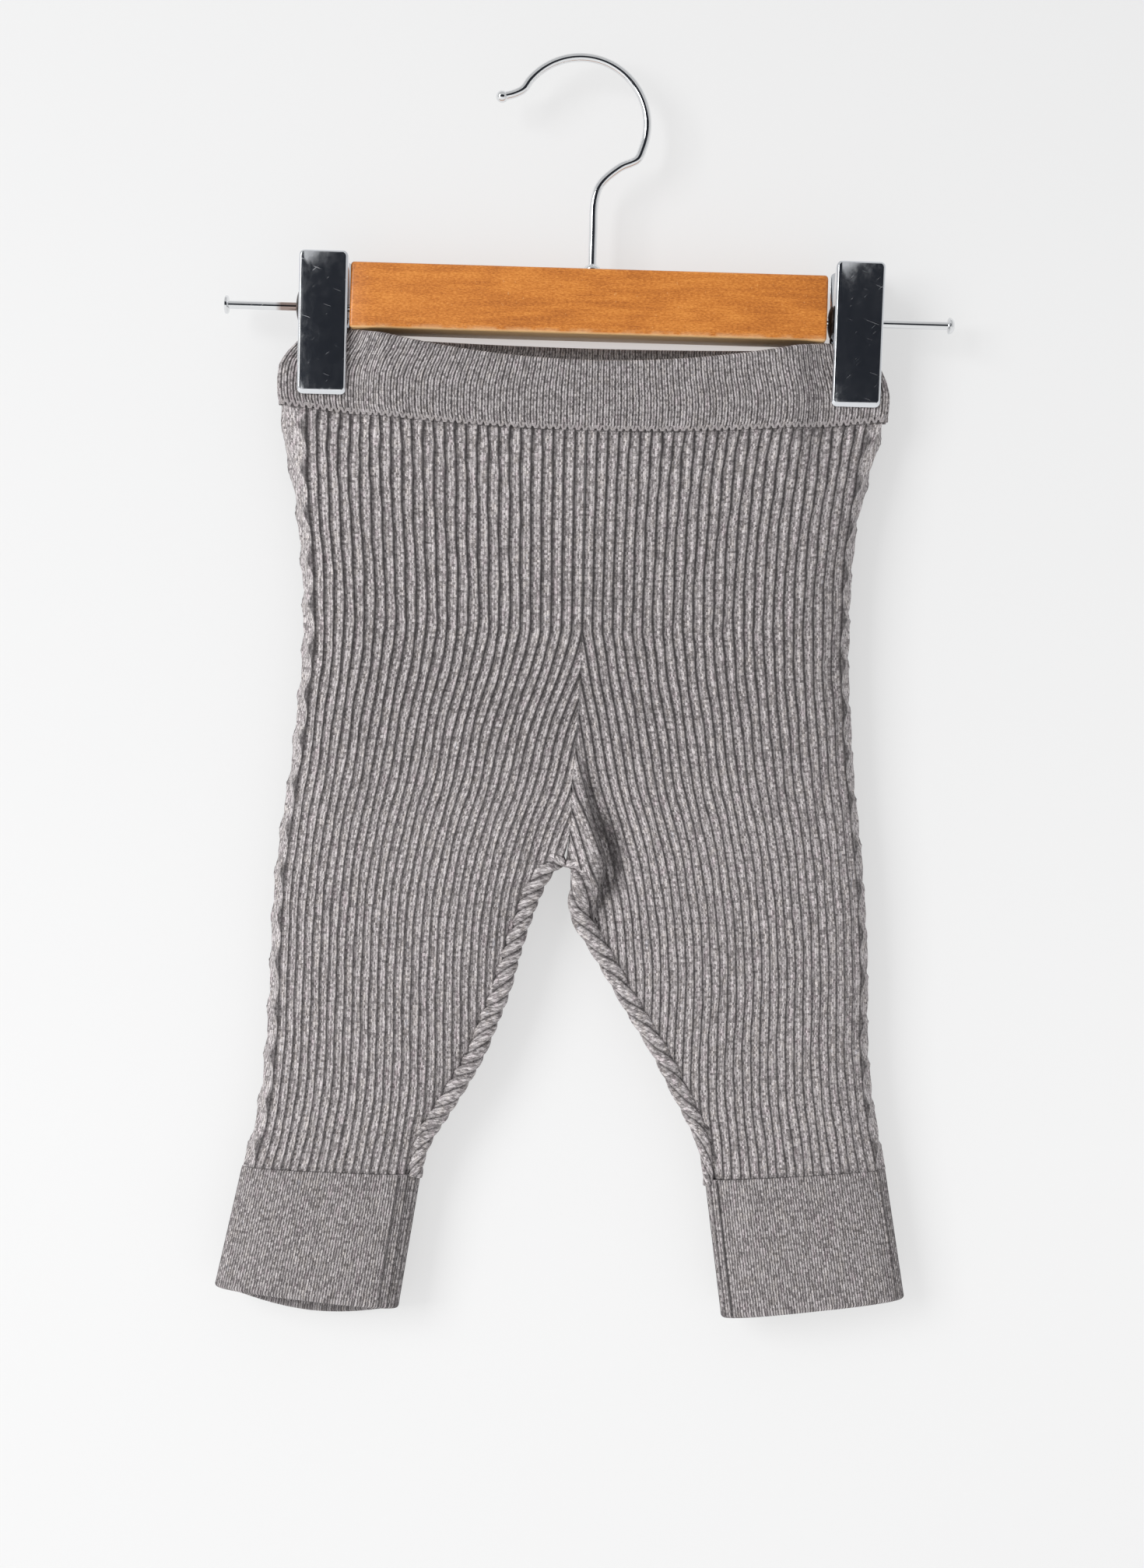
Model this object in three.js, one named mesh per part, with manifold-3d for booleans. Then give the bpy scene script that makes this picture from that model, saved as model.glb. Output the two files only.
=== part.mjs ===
// Baby leggings in ribbed knit, hung by the waistband from a small wooden clip hanger.
// Millimetres, +Z up, front towards -Y. The origin is the highest point inside the hook.
// Left and right are the viewer's: side is -1 for left and +1 for right.
import * as THREE from 'three';
import { mergeVertices } from 'three/addons/utils/BufferGeometryUtils.js';
import Module from 'manifold-3d';

const wasm = await Module();
wasm.setup();

// Cloth
const WALL = 2.0;
const SEAM_GAP = 0.3;
const SECTION_POWER = 2.4;
const FOLD_REACH = 27;
const RIB_RELIEF = 0.75;
const FINE_RELIEF = 0.35;

// Leg panels: heights are at the side fold, and a course of knitting sits lower at the middle
const WAIST_SEAM_Z = -116;
const CUFF_SEAM_Z = -367;
const CROTCH_Z = -262;
const CROTCH_ROUNDING = 14;
const CROTCH_SPREAD = 0.8;
const COURSE_DROP = 5;
const COURSE_BOW_FROM_Z = -202;
const COURSE_BOW_END_Z = -282;
const BACK_LEVEL_Z = -200;
const SEAM_OFFSET_END_Z = -273;
const SEAM_OFFSET_RIBS = 2.0;
const CUFF_OFFSET_FROM_Z = -340;
const CUFF_OFFSET_RIBS = 1.3;

// Side cable, in ribs across and millimetres along
const CABLE_HALF_RIBS = 1.75;
const CABLE_PITCH = 14.8;
const CABLE_RELIEF = 1.7;
const CABLE_SWING = 0.8;
const CABLE_STRAND = 0.95;
const CABLE_TURN_RIBS = 1.3;
const CABLE_TURN_END_Z = -155;

// Ribs from the cable's middle to the centre seam, down to where new ones start there
const BODY_RIBS = 27.75;
const NEW_RIBS_Z = -184;

// Outline of the legs: distances from the middle, width of one rib and half depth.
// Down to the first new rib at the centre seam, the ribs share the width evenly.
const LEG_ROWS = [
  { z: -116, outerLeft: 101.6, outerRight: 98.6, innerLeft: 0.0, innerRight: 0.0, pitch: 3.56, depth: 8.0 },
  { z: -125, outerLeft: 100.8, outerRight: 96.4, innerLeft: 0.0, innerRight: 0.0, pitch: 3.54, depth: 8.0 },
  { z: -140, outerLeft: 98.2, outerRight: 93.2, innerLeft: 0.1, innerRight: 0.1, pitch: 3.52, depth: 8.3 },
  { z: -155, outerLeft: 95.7, outerRight: 91.1, innerLeft: 0.2, innerRight: 0.2, pitch: 3.47, depth: 8.6 },
  { z: -175, outerLeft: 93.5, outerRight: 90.0, innerLeft: 0.4, innerRight: 0.4, pitch: 3.41, depth: 8.6 },
  { z: -195, outerLeft: 92.7, outerRight: 90.0, innerLeft: 0.5, innerRight: 0.5, pitch: 3.27, depth: 8.4 },
  { z: -215, outerLeft: 93.8, outerRight: 91.3, innerLeft: 0.0, innerRight: 0.0, pitch: 3.15, depth: 8.2 },
  { z: -235, outerLeft: 95.4, outerRight: 93.0, innerLeft: -1.5, innerRight: -1.5, pitch: 3.06, depth: 8.0 },
  { z: -250, outerLeft: 97.3, outerRight: 94.9, innerLeft: -1.7, innerRight: -1.7, pitch: 2.95, depth: 7.8 },
  { z: -262, outerLeft: 98.6, outerRight: 96.4, innerLeft: -3.2, innerRight: -3.2, pitch: 2.88, depth: 7.6 },
  { z: -272, outerLeft: 99.5, outerRight: 97.4, innerLeft: -10.0, innerRight: -2.6, pitch: 2.84, depth: 7.4 },
  { z: -285, outerLeft: 100.1, outerRight: 98.6, innerLeft: -14.0, innerRight: 3.2, pitch: 2.81, depth: 7.2 },
  { z: -300, outerLeft: 100.3, outerRight: 99.5, innerLeft: -17.6, innerRight: 12.8, pitch: 2.80, depth: 7.0 },
  { z: -320, outerLeft: 100.7, outerRight: 100.0, innerLeft: -25.0, innerRight: 25.4, pitch: 2.84, depth: 6.8 },
  { z: -340, outerLeft: 102.0, outerRight: 101.9, innerLeft: -35.4, innerRight: 35.9, pitch: 2.92, depth: 6.6 },
  { z: -355, outerLeft: 104.0, outerRight: 104.0, innerLeft: -43.8, innerRight: 43.5, pitch: 2.97, depth: 6.4 },
  { z: -367, outerLeft: 106.3, outerRight: 106.0, innerLeft: -47.6, innerRight: 46.6, pitch: 3.06, depth: 6.4 },
];

// Folds by the crotch: paths over the front, sunk or raised at each point, with a half width
const CREASES = [
  {
    half: 5.0,
    path: [
      { x: 3.0, z: -226, sunk: 0 },
      { x: 6.5, z: -245, sunk: 2.2 },
      { x: 10.5, z: -264, sunk: 4.4 },
      { x: 11.5, z: -276, sunk: 3.2 },
      { x: 14.0, z: -292, sunk: 0 },
    ],
  },
  {
    half: 4.5,
    path: [
      { x: -1.5, z: -230, sunk: 0 },
      { x: 0.5, z: -248, sunk: -1.2 },
      { x: 4.0, z: -262, sunk: -2.2 },
      { x: 1.5, z: -278, sunk: -1.6 },
      { x: 6.0, z: -292, sunk: 0 },
    ],
  },
];

// Waistband, from the linked seam up
const BAND_LEVELS = [
  { rise: 0.0, outerLeft: 101.6, outerRight: 98.6, depth: 8.0 },
  { rise: 0.5, outerLeft: 100.4, outerRight: 98.4, depth: 9.0 },
  { rise: 1.0, outerLeft: 96.6, outerRight: 96.8, depth: 9.8 },
];
const BAND_TOP_Z = -92.5;
const BAND_FRONT_SAG = 8.5;
const BAND_BACK_SAG = 1.5;
const BAND_SAG_HALF = 82;
const BAND_HALF = 100;
const BAND_RIBS = 222;

// Cuffs: corners at the seam and at the hem, x away from the middle
const CUFFS = {
  left: {
    seam: { outer: 106.3, inner: 47.6, z: -367.3, drop: 5.0 },
    hem: { outer: 113.6, inner: 52.6, z: -408.0, drop: 6.0, backDrop: 11.0 },
  },
  right: {
    seam: { outer: 106.0, inner: 46.6, z: -367.3, drop: 5.0 },
    hem: { outer: 113.6, inner: 53.2, z: -406.5, drop: 8.0, backDrop: 8.5 },
  },
};
const CUFF_RIBS = 84;
const CUFF_DEPTH = 6.4;
const CUFF_HEM_DEPTH = 7.2;

// Hanger
const BAR_LENGTH = 158;
const BAR_HEIGHT = 23.5;
const BAR_THICKNESS = 13;
const BAR_EDGE = 1.4;
const BAR_TOP_Z = -68.6;
const ROD_RADIUS = 1.35;
const ROD_Z = -84;
const ROD_HALF_LENGTH = 121;
const CLEARANCE = 0.3;
const CLIP_X = { left: -88.5, right: 89.4 };
const CLIP_WIDTH = 16;
const CLIP_TOP_Z = -65;
const CLIP_BOTTOM_Z = -112;
const CLIP_PLATE = 1.1;
const CLIP_PINCH = 3.3;
const CLIP_TILT = 0.085;
const PINCH_HALF = 9;
const PINCH_END = 22;
const PINCH_FULL_Z = -113;
const PINCH_END_Z = -140;
const HOOK_WIRE = 1.4;
const HOOK_RADIUS = 22.2;
const HOOK_CENTRE_X = -5;

const PAINT = {
  knit: { color: 0x8c8784, roughness: 0.95, metalness: 0 },
  wood: { color: 0xb8712f, roughness: 0.4, metalness: 0 },
  steel: { color: 0xc9ccd0, roughness: 0.15, metalness: 1 },
  dark: { color: 0x2a2a2c, roughness: 0.5, metalness: 0.6 },
};

function clamp(value, low, high) {
  return Math.min(high, Math.max(low, value));
}

function smooth(edge0, edge1, value) {
  const t = clamp((value - edge0) / (edge1 - edge0), 0, 1);
  return t * t * (3 - 2 * t);
}

// One column of a table, on a smooth curve through its rows
function valueAt(rows, key, name, at) {
  const last = rows.length - 1;
  let i = 0;
  while (i < last - 1 && (rows[i + 1][key] - at) * (rows[last][key] - rows[0][key]) < 0) i += 1;
  const slope = (a, b) => (rows[b][name] - rows[a][name]) / (rows[b][key] - rows[a][key]);
  const tangent = (k) => {
    if (k === 0) return slope(0, 1);
    if (k === last) return slope(last - 1, last);
    const before = slope(k - 1, k);
    const after = slope(k, k + 1);
    return before * after <= 0 ? 0 : (2 * before * after) / (before + after);
  };
  const span = rows[i + 1][key] - rows[i][key];
  const t = clamp((at - rows[i][key]) / span, 0, 1);
  const t2 = t * t;
  const t3 = t2 * t;
  return (2 * t3 - 3 * t2 + 1) * rows[i][name] + (t3 - 2 * t2 + t) * span * tangent(i)
    + (3 * t2 - 2 * t3) * rows[i + 1][name] + (t3 - t2) * span * tangent(i + 1);
}

// How far a leg has closed into a tube, at a distance from its inner end: 0 above the crotch, 1 below it.
// The inside closes a wall's thickness higher than the outside.
function closing(z, inset, distance) {
  const reach = CROTCH_ROUNDING + CROTCH_SPREAD * distance;
  const t = clamp((CROTCH_Z + CROTCH_ROUNDING + inset - z) / reach, 0, 1);
  return 1 - Math.sqrt(1 - t * t);
}

// Share of the full half depth at a distance in from a fold
function rounding(distance) {
  return (1 - (1 - clamp(distance / FOLD_REACH, 0, 1)) ** SECTION_POWER) ** (1 / SECTION_POWER);
}

// How hard a clip presses the cloth flat at a point
function pinchAt(x, z) {
  const away = Math.min(Math.abs(x - CLIP_X.left), Math.abs(x - CLIP_X.right));
  return (1 - smooth(PINCH_HALF, PINCH_END, away)) * smooth(PINCH_END_Z, PINCH_FULL_Z, z);
}

// How far the front is sunk by the folds at the crotch
function creaseAt(x, z) {
  let total = 0;
  for (const { half, path } of CREASES) {
    let best = { distance: Infinity, sunk: 0 };
    for (let i = 0; i + 1 < path.length; i += 1) {
      const a = path[i];
      const b = path[i + 1];
      const length2 = (b.x - a.x) ** 2 + (b.z - a.z) ** 2;
      const t = clamp(((x - a.x) * (b.x - a.x) + (z - a.z) * (b.z - a.z)) / length2, 0, 1);
      const distance = Math.hypot(x - a.x - t * (b.x - a.x), z - a.z - t * (b.z - a.z));
      if (distance < best.distance) best = { distance, sunk: a.sunk + t * (b.sunk - a.sunk) };
    }
    total += best.sunk * Math.exp(-((best.distance / half) ** 2));
  }
  return total;
}

// Half a cross section, from the outer fold to the middle or the inner fold, with its running length
const SECTION_STEPS = 48;
function halfSection(section, inset) {
  const { side, z, outer, inner, depth } = section;
  const from = side * (outer - inset);
  const to = side * (inner + section.gap + (inset + section.relief) * section.closing(inset, 0));
  const points = [];
  for (let i = 0; i <= SECTION_STEPS; i += 1) {
    const f = (1 - Math.cos((Math.PI * i) / SECTION_STEPS)) / 2;
    const x = from + (to - from) * f;
    const fromInner = Math.abs(to - x);
    const innerEnd = 1 - section.closing(inset, fromInner) * (1 - rounding(fromInner));
    const free = (depth - inset) * rounding(Math.abs(x - from)) * innerEnd;
    const press = pinchAt(x, z);
    const y = free + (Math.min(free, CLIP_PINCH - inset) - free) * press;
    const before = points[i - 1];
    const length = before ? before.length + Math.hypot(x - before.x, y - before.y) : 0;
    points.push({ f, x, y, length });
  }
  return points;
}

// The point at a share of the way round a section: 0 at the outer fold, 1 at the inner end by the front,
// -1 by the back. Past the inner end it goes round the fold on to the other face, or straight on
// where the leg is still open.
function sectionPoint(section, share, inset) {
  const points = halfSection(section, inset);
  const total = points[SECTION_STEPS].length;
  const folded = section.closing(inset, 0) >= 1;
  const beyond = Math.max(0, Math.abs(share) - 1);
  const around = folded ? Math.abs(share) - 2 * beyond : Math.abs(share) - beyond;
  const face = (share >= 0) === (folded && beyond > 0) ? 1 : -1;
  const want = around * total;
  let i = 1;
  while (i < SECTION_STEPS && points[i].length < want) i += 1;
  const a = points[i - 1];
  const b = points[i];
  const t = clamp((want - a.length) / (b.length - a.length), 0, 1);
  const f = a.f + t * (b.f - a.f);
  const past = folded ? 0 : beyond * total * -section.side;
  const x = a.x + t * (b.x - a.x) + past;
  const y = face * (a.y + t * (b.y - a.y));
  const z = section.z - section.dropAt(face, f);
  const sunk = section.creased && face < 0 ? creaseAt(x, z) : 0;
  return new THREE.Vector3(x, y + sunk, z);
}

// A leg panel's section at a height
function legSection(side, z) {
  const sideName = side < 0 ? 'Left' : 'Right';
  const column = (name) => valueAt(LEG_ROWS, 'z', name, z);
  const backDrop = COURSE_DROP * smooth(WAIST_SEAM_Z, BACK_LEVEL_Z, z);
  return {
    side,
    z,
    outer: column(`outer${sideName}`),
    inner: side < 0 ? -column('innerLeft') : column('innerRight'),
    depth: column('depth'),
    gap: SEAM_GAP / 2,
    relief: RIB_RELIEF,
    creased: true,
    closing: (inset, distance) => closing(z, inset, distance),
    dropAt: (face, f) => {
      const drop = face < 0 ? COURSE_DROP : backDrop;
      return drop * (f + smooth(COURSE_BOW_END_Z, COURSE_BOW_FROM_Z, z) * f * (1 - f));
    },
  };
}

function halfLength(section) {
  return halfSection(section, 0)[SECTION_STEPS].length;
}

// Width of one rib on a leg panel at a height
function pitchAt(side, z) {
  const evenly = (at) => halfLength({ ...legSection(side, at), closing: () => 0 }) / BODY_RIBS;
  if (z >= NEW_RIBS_Z) return evenly(z);
  const pitch = (at) => valueAt(LEG_ROWS, 'z', 'pitch', at);
  const carry = 1 - smooth(NEW_RIBS_Z, NEW_RIBS_Z - 40, z);
  return pitch(z) * (1 + (evenly(NEW_RIBS_Z) / pitch(NEW_RIBS_Z) - 1) * carry);
}

// The inseam lies on the front, some ribs in from the inner fold
function seamOffset(z) {
  const full = SEAM_OFFSET_RIBS + (CUFF_OFFSET_RIBS - SEAM_OFFSET_RIBS) * smooth(CUFF_OFFSET_FROM_Z, CUFF_SEAM_Z, z);
  return full * smooth(CROTCH_Z, SEAM_OFFSET_END_Z, z);
}

// A leg's measures at a height, worked out once
const measures = new Map();
function measureAt(side, z) {
  const key = `${side} ${z}`;
  if (!measures.has(key)) {
    const pitch = pitchAt(side, z);
    measures.set(key, { pitch, ribs: halfLength(legSection(side, z)) / pitch });
  }
  return measures.get(key);
}

// Ribs from the cable's middle to the panel's edge, on the front (+1) or the back (-1)
function edgeRibs(side, faceSign, z) {
  const { pitch, ribs } = measureAt(side, z);
  return ribs - faceSign * seamOffset(z) - (closing(z, 0, 0) * SEAM_GAP) / 2 / pitch;
}

// A point of a leg panel: v counts ribs from the cable's middle, to the front (+) or the back (-)
function legPoint(side, v, z, inset) {
  const { ribs } = measureAt(side, z);
  const turn = side < 0 ? CABLE_TURN_RIBS * smooth(CABLE_TURN_END_Z, WAIST_SEAM_Z, z) : 0;
  const share = (v + turn * Math.max(0, 1 - Math.abs(v) / ribs)) / ribs;
  return sectionPoint(legSection(side, z), share, inset);
}

// Height of the knit's relief on a leg panel
function legRelief(v, z) {
  const distance = Math.abs(v);
  if (distance < CABLE_HALF_RIBS) return cableRelief(v, z);
  const t = distance - CABLE_HALF_RIBS;
  const along = t - Math.floor(t + 1e-9);
  return along > 0.15 && along < 0.85 ? RIB_RELIEF : 0;
}

function cableRelief(v, z) {
  const phase = (Math.PI * (z - WAIST_SEAM_Z)) / CABLE_PITCH;
  let height = 0;
  for (const strand of [0, 1]) {
    const middle = CABLE_SWING * Math.cos(phase + strand * Math.PI);
    const above = 0.78 + 0.22 * Math.sin(phase + strand * Math.PI);
    const across = clamp((v - middle) / CABLE_STRAND, -1, 1);
    height = Math.max(height, CABLE_RELIEF * above * Math.sqrt(1 - across * across));
  }
  return height * smooth(CABLE_HALF_RIBS, CABLE_HALF_RIBS - 0.3, Math.abs(v));
}

// A point raised off a smooth surface along the surface's own normal
function raised(surface, a, b, stepA, stepB, height, outward) {
  const point = surface(a, b);
  if (height === 0) return point;
  const alongA = surface(a + stepA, b).sub(surface(a - stepA, b));
  const alongB = surface(a, b + stepB).sub(surface(a, b - stepB));
  const normal = alongA.cross(alongB).normalize().multiplyScalar(outward * height);
  return point.add(normal);
}

// The heights between which a wale lies inside its panel
function waleEnds(side, v) {
  const faceSign = v >= 0 ? 1 : -1;
  const distance = Math.abs(v);
  const inside = (z) => edgeRibs(side, faceSign, z) >= distance - 1e-6;
  return { top: firstInside(inside, WAIST_SEAM_Z, CUFF_SEAM_Z), bottom: firstInside(inside, CUFF_SEAM_Z, WAIST_SEAM_Z) };
}

// The first height from one end of the panel that lies inside, found in steps and then by halving
function firstInside(inside, from, to) {
  if (inside(from)) return from;
  const step = Math.sign(to - from) * 0.5;
  let z = from;
  while ((to - z) * step > 0 && !inside(z)) z += step;
  let out = z - step;
  for (let i = 0; i < 16; i += 1) {
    const middle = (out + z) / 2;
    if (inside(middle)) z = middle;
    else out = middle;
  }
  return z;
}

// Heights of the points down a wale
const PLAIN_ROWS = [-143, -178, -214, -248, -285, -325];
const MIDDLE_ROWS = [-232, -241, -254, -259, -262, -266, -270, -275, -300, -312, -340];
const MIDDLE_BACK_ROWS = [-232, -254, -262, -270, -278, -293, -300, -312, -340, -354];
const MIDDLE_FROM = 20;
const SHORTEST_WALE = 2.0;
const ROWS_APART = 1.6;
function waleRows(v, ends) {
  const fixed = [ends.top, ends.bottom];
  let rows = [...PLAIN_ROWS];
  if (v > MIDDLE_FROM) rows.push(...MIDDLE_ROWS);
  if (v < -MIDDLE_FROM) rows.push(...MIDDLE_BACK_ROWS);
  if (Math.abs(v) < CABLE_HALF_RIBS) rows = cableRows();
  if (Math.abs(v) === BODY_RIBS) fixed.push(NEW_RIBS_Z);
  rows = rows.filter((z) => z < ends.top && z > ends.bottom && fixed.every((other) => Math.abs(z - other) > ROWS_APART));
  return [...rows, ...fixed].sort((a, b) => b - a);
}

function cableRows() {
  const rows = [];
  const step = CABLE_PITCH / 4;
  for (let z = WAIST_SEAM_Z - step; z > CUFF_SEAM_Z; z -= step) rows.push(z);
  return rows;
}

// The wales of a skin, as rib positions from the back edge to the front edge
const MOST_RIBS = 40;
const OUTER_SHARES = { front: [0, 0.22, 0.78], back: [0, 0.5] };
function outerWales() {
  const cable = [-1.35, -0.7, 0, 0.7, 1.35];
  const wales = [...cable];
  for (let rib = 0; rib < MOST_RIBS; rib += 1) {
    for (const share of OUTER_SHARES.front) wales.push(CABLE_HALF_RIBS + rib + share);
    for (const share of OUTER_SHARES.back) wales.push(-(CABLE_HALF_RIBS + rib + share));
  }
  return wales.sort((a, b) => a - b);
}

const INNER_RIBS = [0, 5, 10, 15, 20, 23, 25, 26, 27, 28, 29, 30, 31, 32, 33, 34, 36];
function innerWales() {
  const wales = [0];
  for (const rib of INNER_RIBS) wales.push(CABLE_HALF_RIBS + rib, -(CABLE_HALF_RIBS + rib));
  return wales.sort((a, b) => a - b);
}

// The most ribs a face of a panel holds at any height below the waist
function peakRibs(side, faceSign) {
  let most = 0;
  for (let z = NEW_RIBS_Z; z > CUFF_SEAM_Z; z -= 1) most = Math.max(most, edgeRibs(side, faceSign, z));
  return most;
}

// A skin's lines: each has its rib position and the heights of its points.
// Two of them end in the corners at the cuff, and some short ones round off the crotch.
const PEAK_STEPS = [0.05, 0.16, 0.35, 0.6];
function legLines(side, wales) {
  const extra = [1, -1].flatMap((faceSign) => [
    edgeRibs(side, faceSign, CUFF_SEAM_Z),
    ...PEAK_STEPS.map((step) => peakRibs(side, faceSign) - step),
  ].map((v) => v * faceSign));
  const apart = wales.filter((v) => extra.every((other) => Math.abs(v - other) > 0.09));
  return [...apart, ...extra]
    .sort((a, b) => a - b)
    .map((v) => ({ v, ends: waleEnds(side, v) }))
    .filter(({ ends }) => ends.top - ends.bottom > SHORTEST_WALE)
    .map(({ v, ends }) => ({ v, rows: waleRows(v, ends) }));
}

// Vertices and faces of a solid under construction
class Solid {
  constructor() {
    this.points = [];
    this.faces = [];
  }

  addPoint(point) {
    this.points.push(point);
    return this.points.length - 1;
  }

  // Triangles between two neighbouring lines of points, each with its place along the line.
  // Where only one of them starts at the top, the other starts on a seam, and they join from there.
  zip(left, right, flip) {
    const top = Math.min(left[0].at, right[0].at);
    const start = Math.max(left[0].at, right[0].at);
    const fromTop = (line) => line[0].at === top && start > top && line[0].top;
    const within = (line) => (fromTop(line) ? line.slice(line.findLastIndex((p) => p.at <= start)) : line);
    this.bridge(within(left), within(right), flip);
  }

  bridge(left, right, flip) {
    let i = 0;
    let j = 0;
    while (i < left.length - 1 || j < right.length - 1) {
      const nextI = i < left.length - 1 ? left[i + 1].at : Infinity;
      const nextJ = j < right.length - 1 ? right[j + 1].at : Infinity;
      if (nextI <= nextJ) {
        this.addFace(left[i].index, left[i + 1].index, right[j].index, flip);
        i += 1;
      } else {
        this.addFace(left[i].index, right[j + 1].index, right[j].index, flip);
        j += 1;
      }
    }
  }

  addFace(a, b, c, flip) {
    this.faces.push(flip ? [a, c, b] : [a, b, c]);
  }

  geometry() {
    let volume = 0;
    for (const [a, b, c] of this.faces) {
      volume += this.points[a].dot(this.points[b].clone().cross(this.points[c]));
    }
    const index = this.faces.flatMap(([a, b, c]) => (volume < 0 ? [a, c, b] : [a, b, c]));
    const geometry = new THREE.BufferGeometry();
    geometry.setAttribute('position', new THREE.Float32BufferAttribute(this.points.flatMap((p) => p.toArray()), 3));
    geometry.setIndex(index);
    return geometry;
  }
}

// The place of an edge point round a panel: along the top, down the front, along the bottom, up the back
function edgePlace(v, z, frontTop, backTop, frontBottom, backBottom) {
  if (z === WAIST_SEAM_Z) return (v + backTop) / (backTop + frontTop);
  if (z === CUFF_SEAM_Z) return 2 + (frontBottom - v) / (frontBottom + backBottom);
  const down = (WAIST_SEAM_Z - z) / (WAIST_SEAM_Z - CUFF_SEAM_Z);
  return v > 0 ? 1 + down : 4 - down;
}

// A leg panel: a thick sheet rolled round the side, open at its seams
function legPanel(side) {
  const solid = new Solid();
  const outward = side;
  const outer = (v, z) => legPoint(side, v, z, 0);
  const skins = [
    { wales: outerWales(), flip: false, at: (v, z) => raised(outer, v, z, 0.1, 0.5, legRelief(v, z), outward) },
    { wales: innerWales(), flip: true, at: (v, z) => legPoint(side, v, z, WALL) },
  ];
  const reach = [WAIST_SEAM_Z, CUFF_SEAM_Z].flatMap((z) => [edgeRibs(side, 1, z), edgeRibs(side, -1, z)]);
  const loops = skins.map(({ wales, flip, at }) => {
    const lines = legLines(side, wales).map(({ v, rows }) => rows.map((z) => ({
      v, z, at: -z, top: z === WAIST_SEAM_Z, index: solid.addPoint(at(v, z)),
    })));
    for (let i = 0; i + 1 < lines.length; i += 1) solid.zip(lines[i], lines[i + 1], flip);
    return edgeLoop(solid, lines, reach);
  });
  solid.bridge(loops[0], loops[1], false);
  return solid.geometry();
}

// The points on a skin's edge, in order round the panel
function edgeLoop(solid, lines, reach) {
  const byIndex = new Map();
  for (const line of lines) for (const p of line) byIndex.set(p.index, p);
  const used = new Map();
  for (const face of solid.faces) {
    for (let k = 0; k < 3; k += 1) {
      const a = face[k];
      const b = face[(k + 1) % 3];
      if (!byIndex.has(a) || !byIndex.has(b)) continue;
      const key = a < b ? `${a} ${b}` : `${b} ${a}`;
      used.set(key, (used.get(key) ?? 0) + 1);
    }
  }
  const onEdge = new Set();
  for (const [key, count] of used) if (count === 1) key.split(' ').forEach((n) => onEdge.add(Number(n)));
  const loop = [...onEdge].map((index) => {
    const { v, z } = byIndex.get(index);
    return { index, at: edgePlace(v, z, ...reach) };
  });
  loop.sort((a, b) => a.at - b.at);
  return [...loop, { index: loop[0].index, at: loop[0].at + 4 }];
}

// A ribbed tube: surface(turn, level, inset) gives its points, turn from 0 to 1 round and level by index
function ribbedTube({ ribs, levels, surface, relief, innerSteps, outward }) {
  const solid = new Solid();
  const skin = (count, flip, at) => {
    const lines = [];
    for (let i = 0; i < count; i += 1) {
      const turn = i / count;
      lines.push(Array.from({ length: levels }, (_, level) => ({
        at: level, turn, index: solid.addPoint(at(turn, level, i)),
      })));
    }
    for (let i = 0; i < count; i += 1) solid.zip(lines[i], lines[(i + 1) % count], flip);
    return lines;
  };
  const outer = (turn, level) => surface(turn, level, 0);
  const stepTurn = 0.2 / ribs;
  const outside = skin(ribs * 2, false, (turn, level, i) => raisedRing(outer, turn, level, levels, stepTurn, i % 2 ? relief : 0, outward));
  const inside = skin(innerSteps, true, (turn, level) => surface(turn, level, WALL));
  for (const level of [0, levels - 1]) {
    const ring = (lines) => {
      const points = lines.map((line) => ({ index: line[level].index, at: line[level].turn }));
      return [...points, { index: points[0].index, at: 1 + points[0].at }];
    };
    solid.bridge(ring(outside), ring(inside), level !== 0);
  }
  return solid.geometry();
}

function raisedRing(surface, turn, level, levels, stepTurn, height, outward) {
  const low = Math.max(0, level - 1);
  const high = Math.min(levels - 1, level + 1);
  const point = surface(turn, level);
  const alongTurn = surface(turn + stepTurn, level).sub(surface(turn - stepTurn, level));
  const alongLevel = surface(turn, high).sub(surface(turn, low));
  return point.add(alongTurn.cross(alongLevel).normalize().multiplyScalar(outward * height));
}

// The waistband's edge hangs in a curve between the clips, lower at the front
function bandDrop(level, face, x) {
  const bottom = legSection(-1, WAIST_SEAM_Z);
  const f = 1 - clamp(Math.abs(x) / BAND_HALF, 0, 1);
  const atSeam = bottom.dropAt(face, f);
  const fullSag = face < 0 ? BAND_FRONT_SAG : BAND_BACK_SAG;
  const sag = fullSag * (1 - clamp((x / BAND_SAG_HALF) ** 2, 0, 1));
  return atSeam + (sag - atSeam) * level.rise;
}

function bandPoint(turn, levelIndex, inset) {
  const level = BAND_LEVELS[levelIndex];
  const quarter = ((turn % 1) + 1) % 1 * 4;
  const side = quarter < 1 || quarter >= 3 ? -1 : 1;
  const faceSign = quarter < 2 ? 1 : -1;
  const whole = Math.floor(quarter);
  const t = quarter - whole;
  const share = whole % 2 === 0 ? t : 1 - t;
  const seamZ = WAIST_SEAM_Z + SEAM_GAP;
  const z = seamZ + (BAND_TOP_Z - seamZ) * level.rise;
  const section = {
    side,
    z,
    outer: side < 0 ? level.outerLeft : level.outerRight,
    inner: 0,
    depth: level.depth,
    gap: 0,
    relief: 0,
    creased: false,
    closing: () => 0,
    dropAt: (face, f) => bandDrop(level, face, (1 - f) * BAND_HALF),
  };
  return sectionPoint(section, faceSign * share, inset);
}

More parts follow.
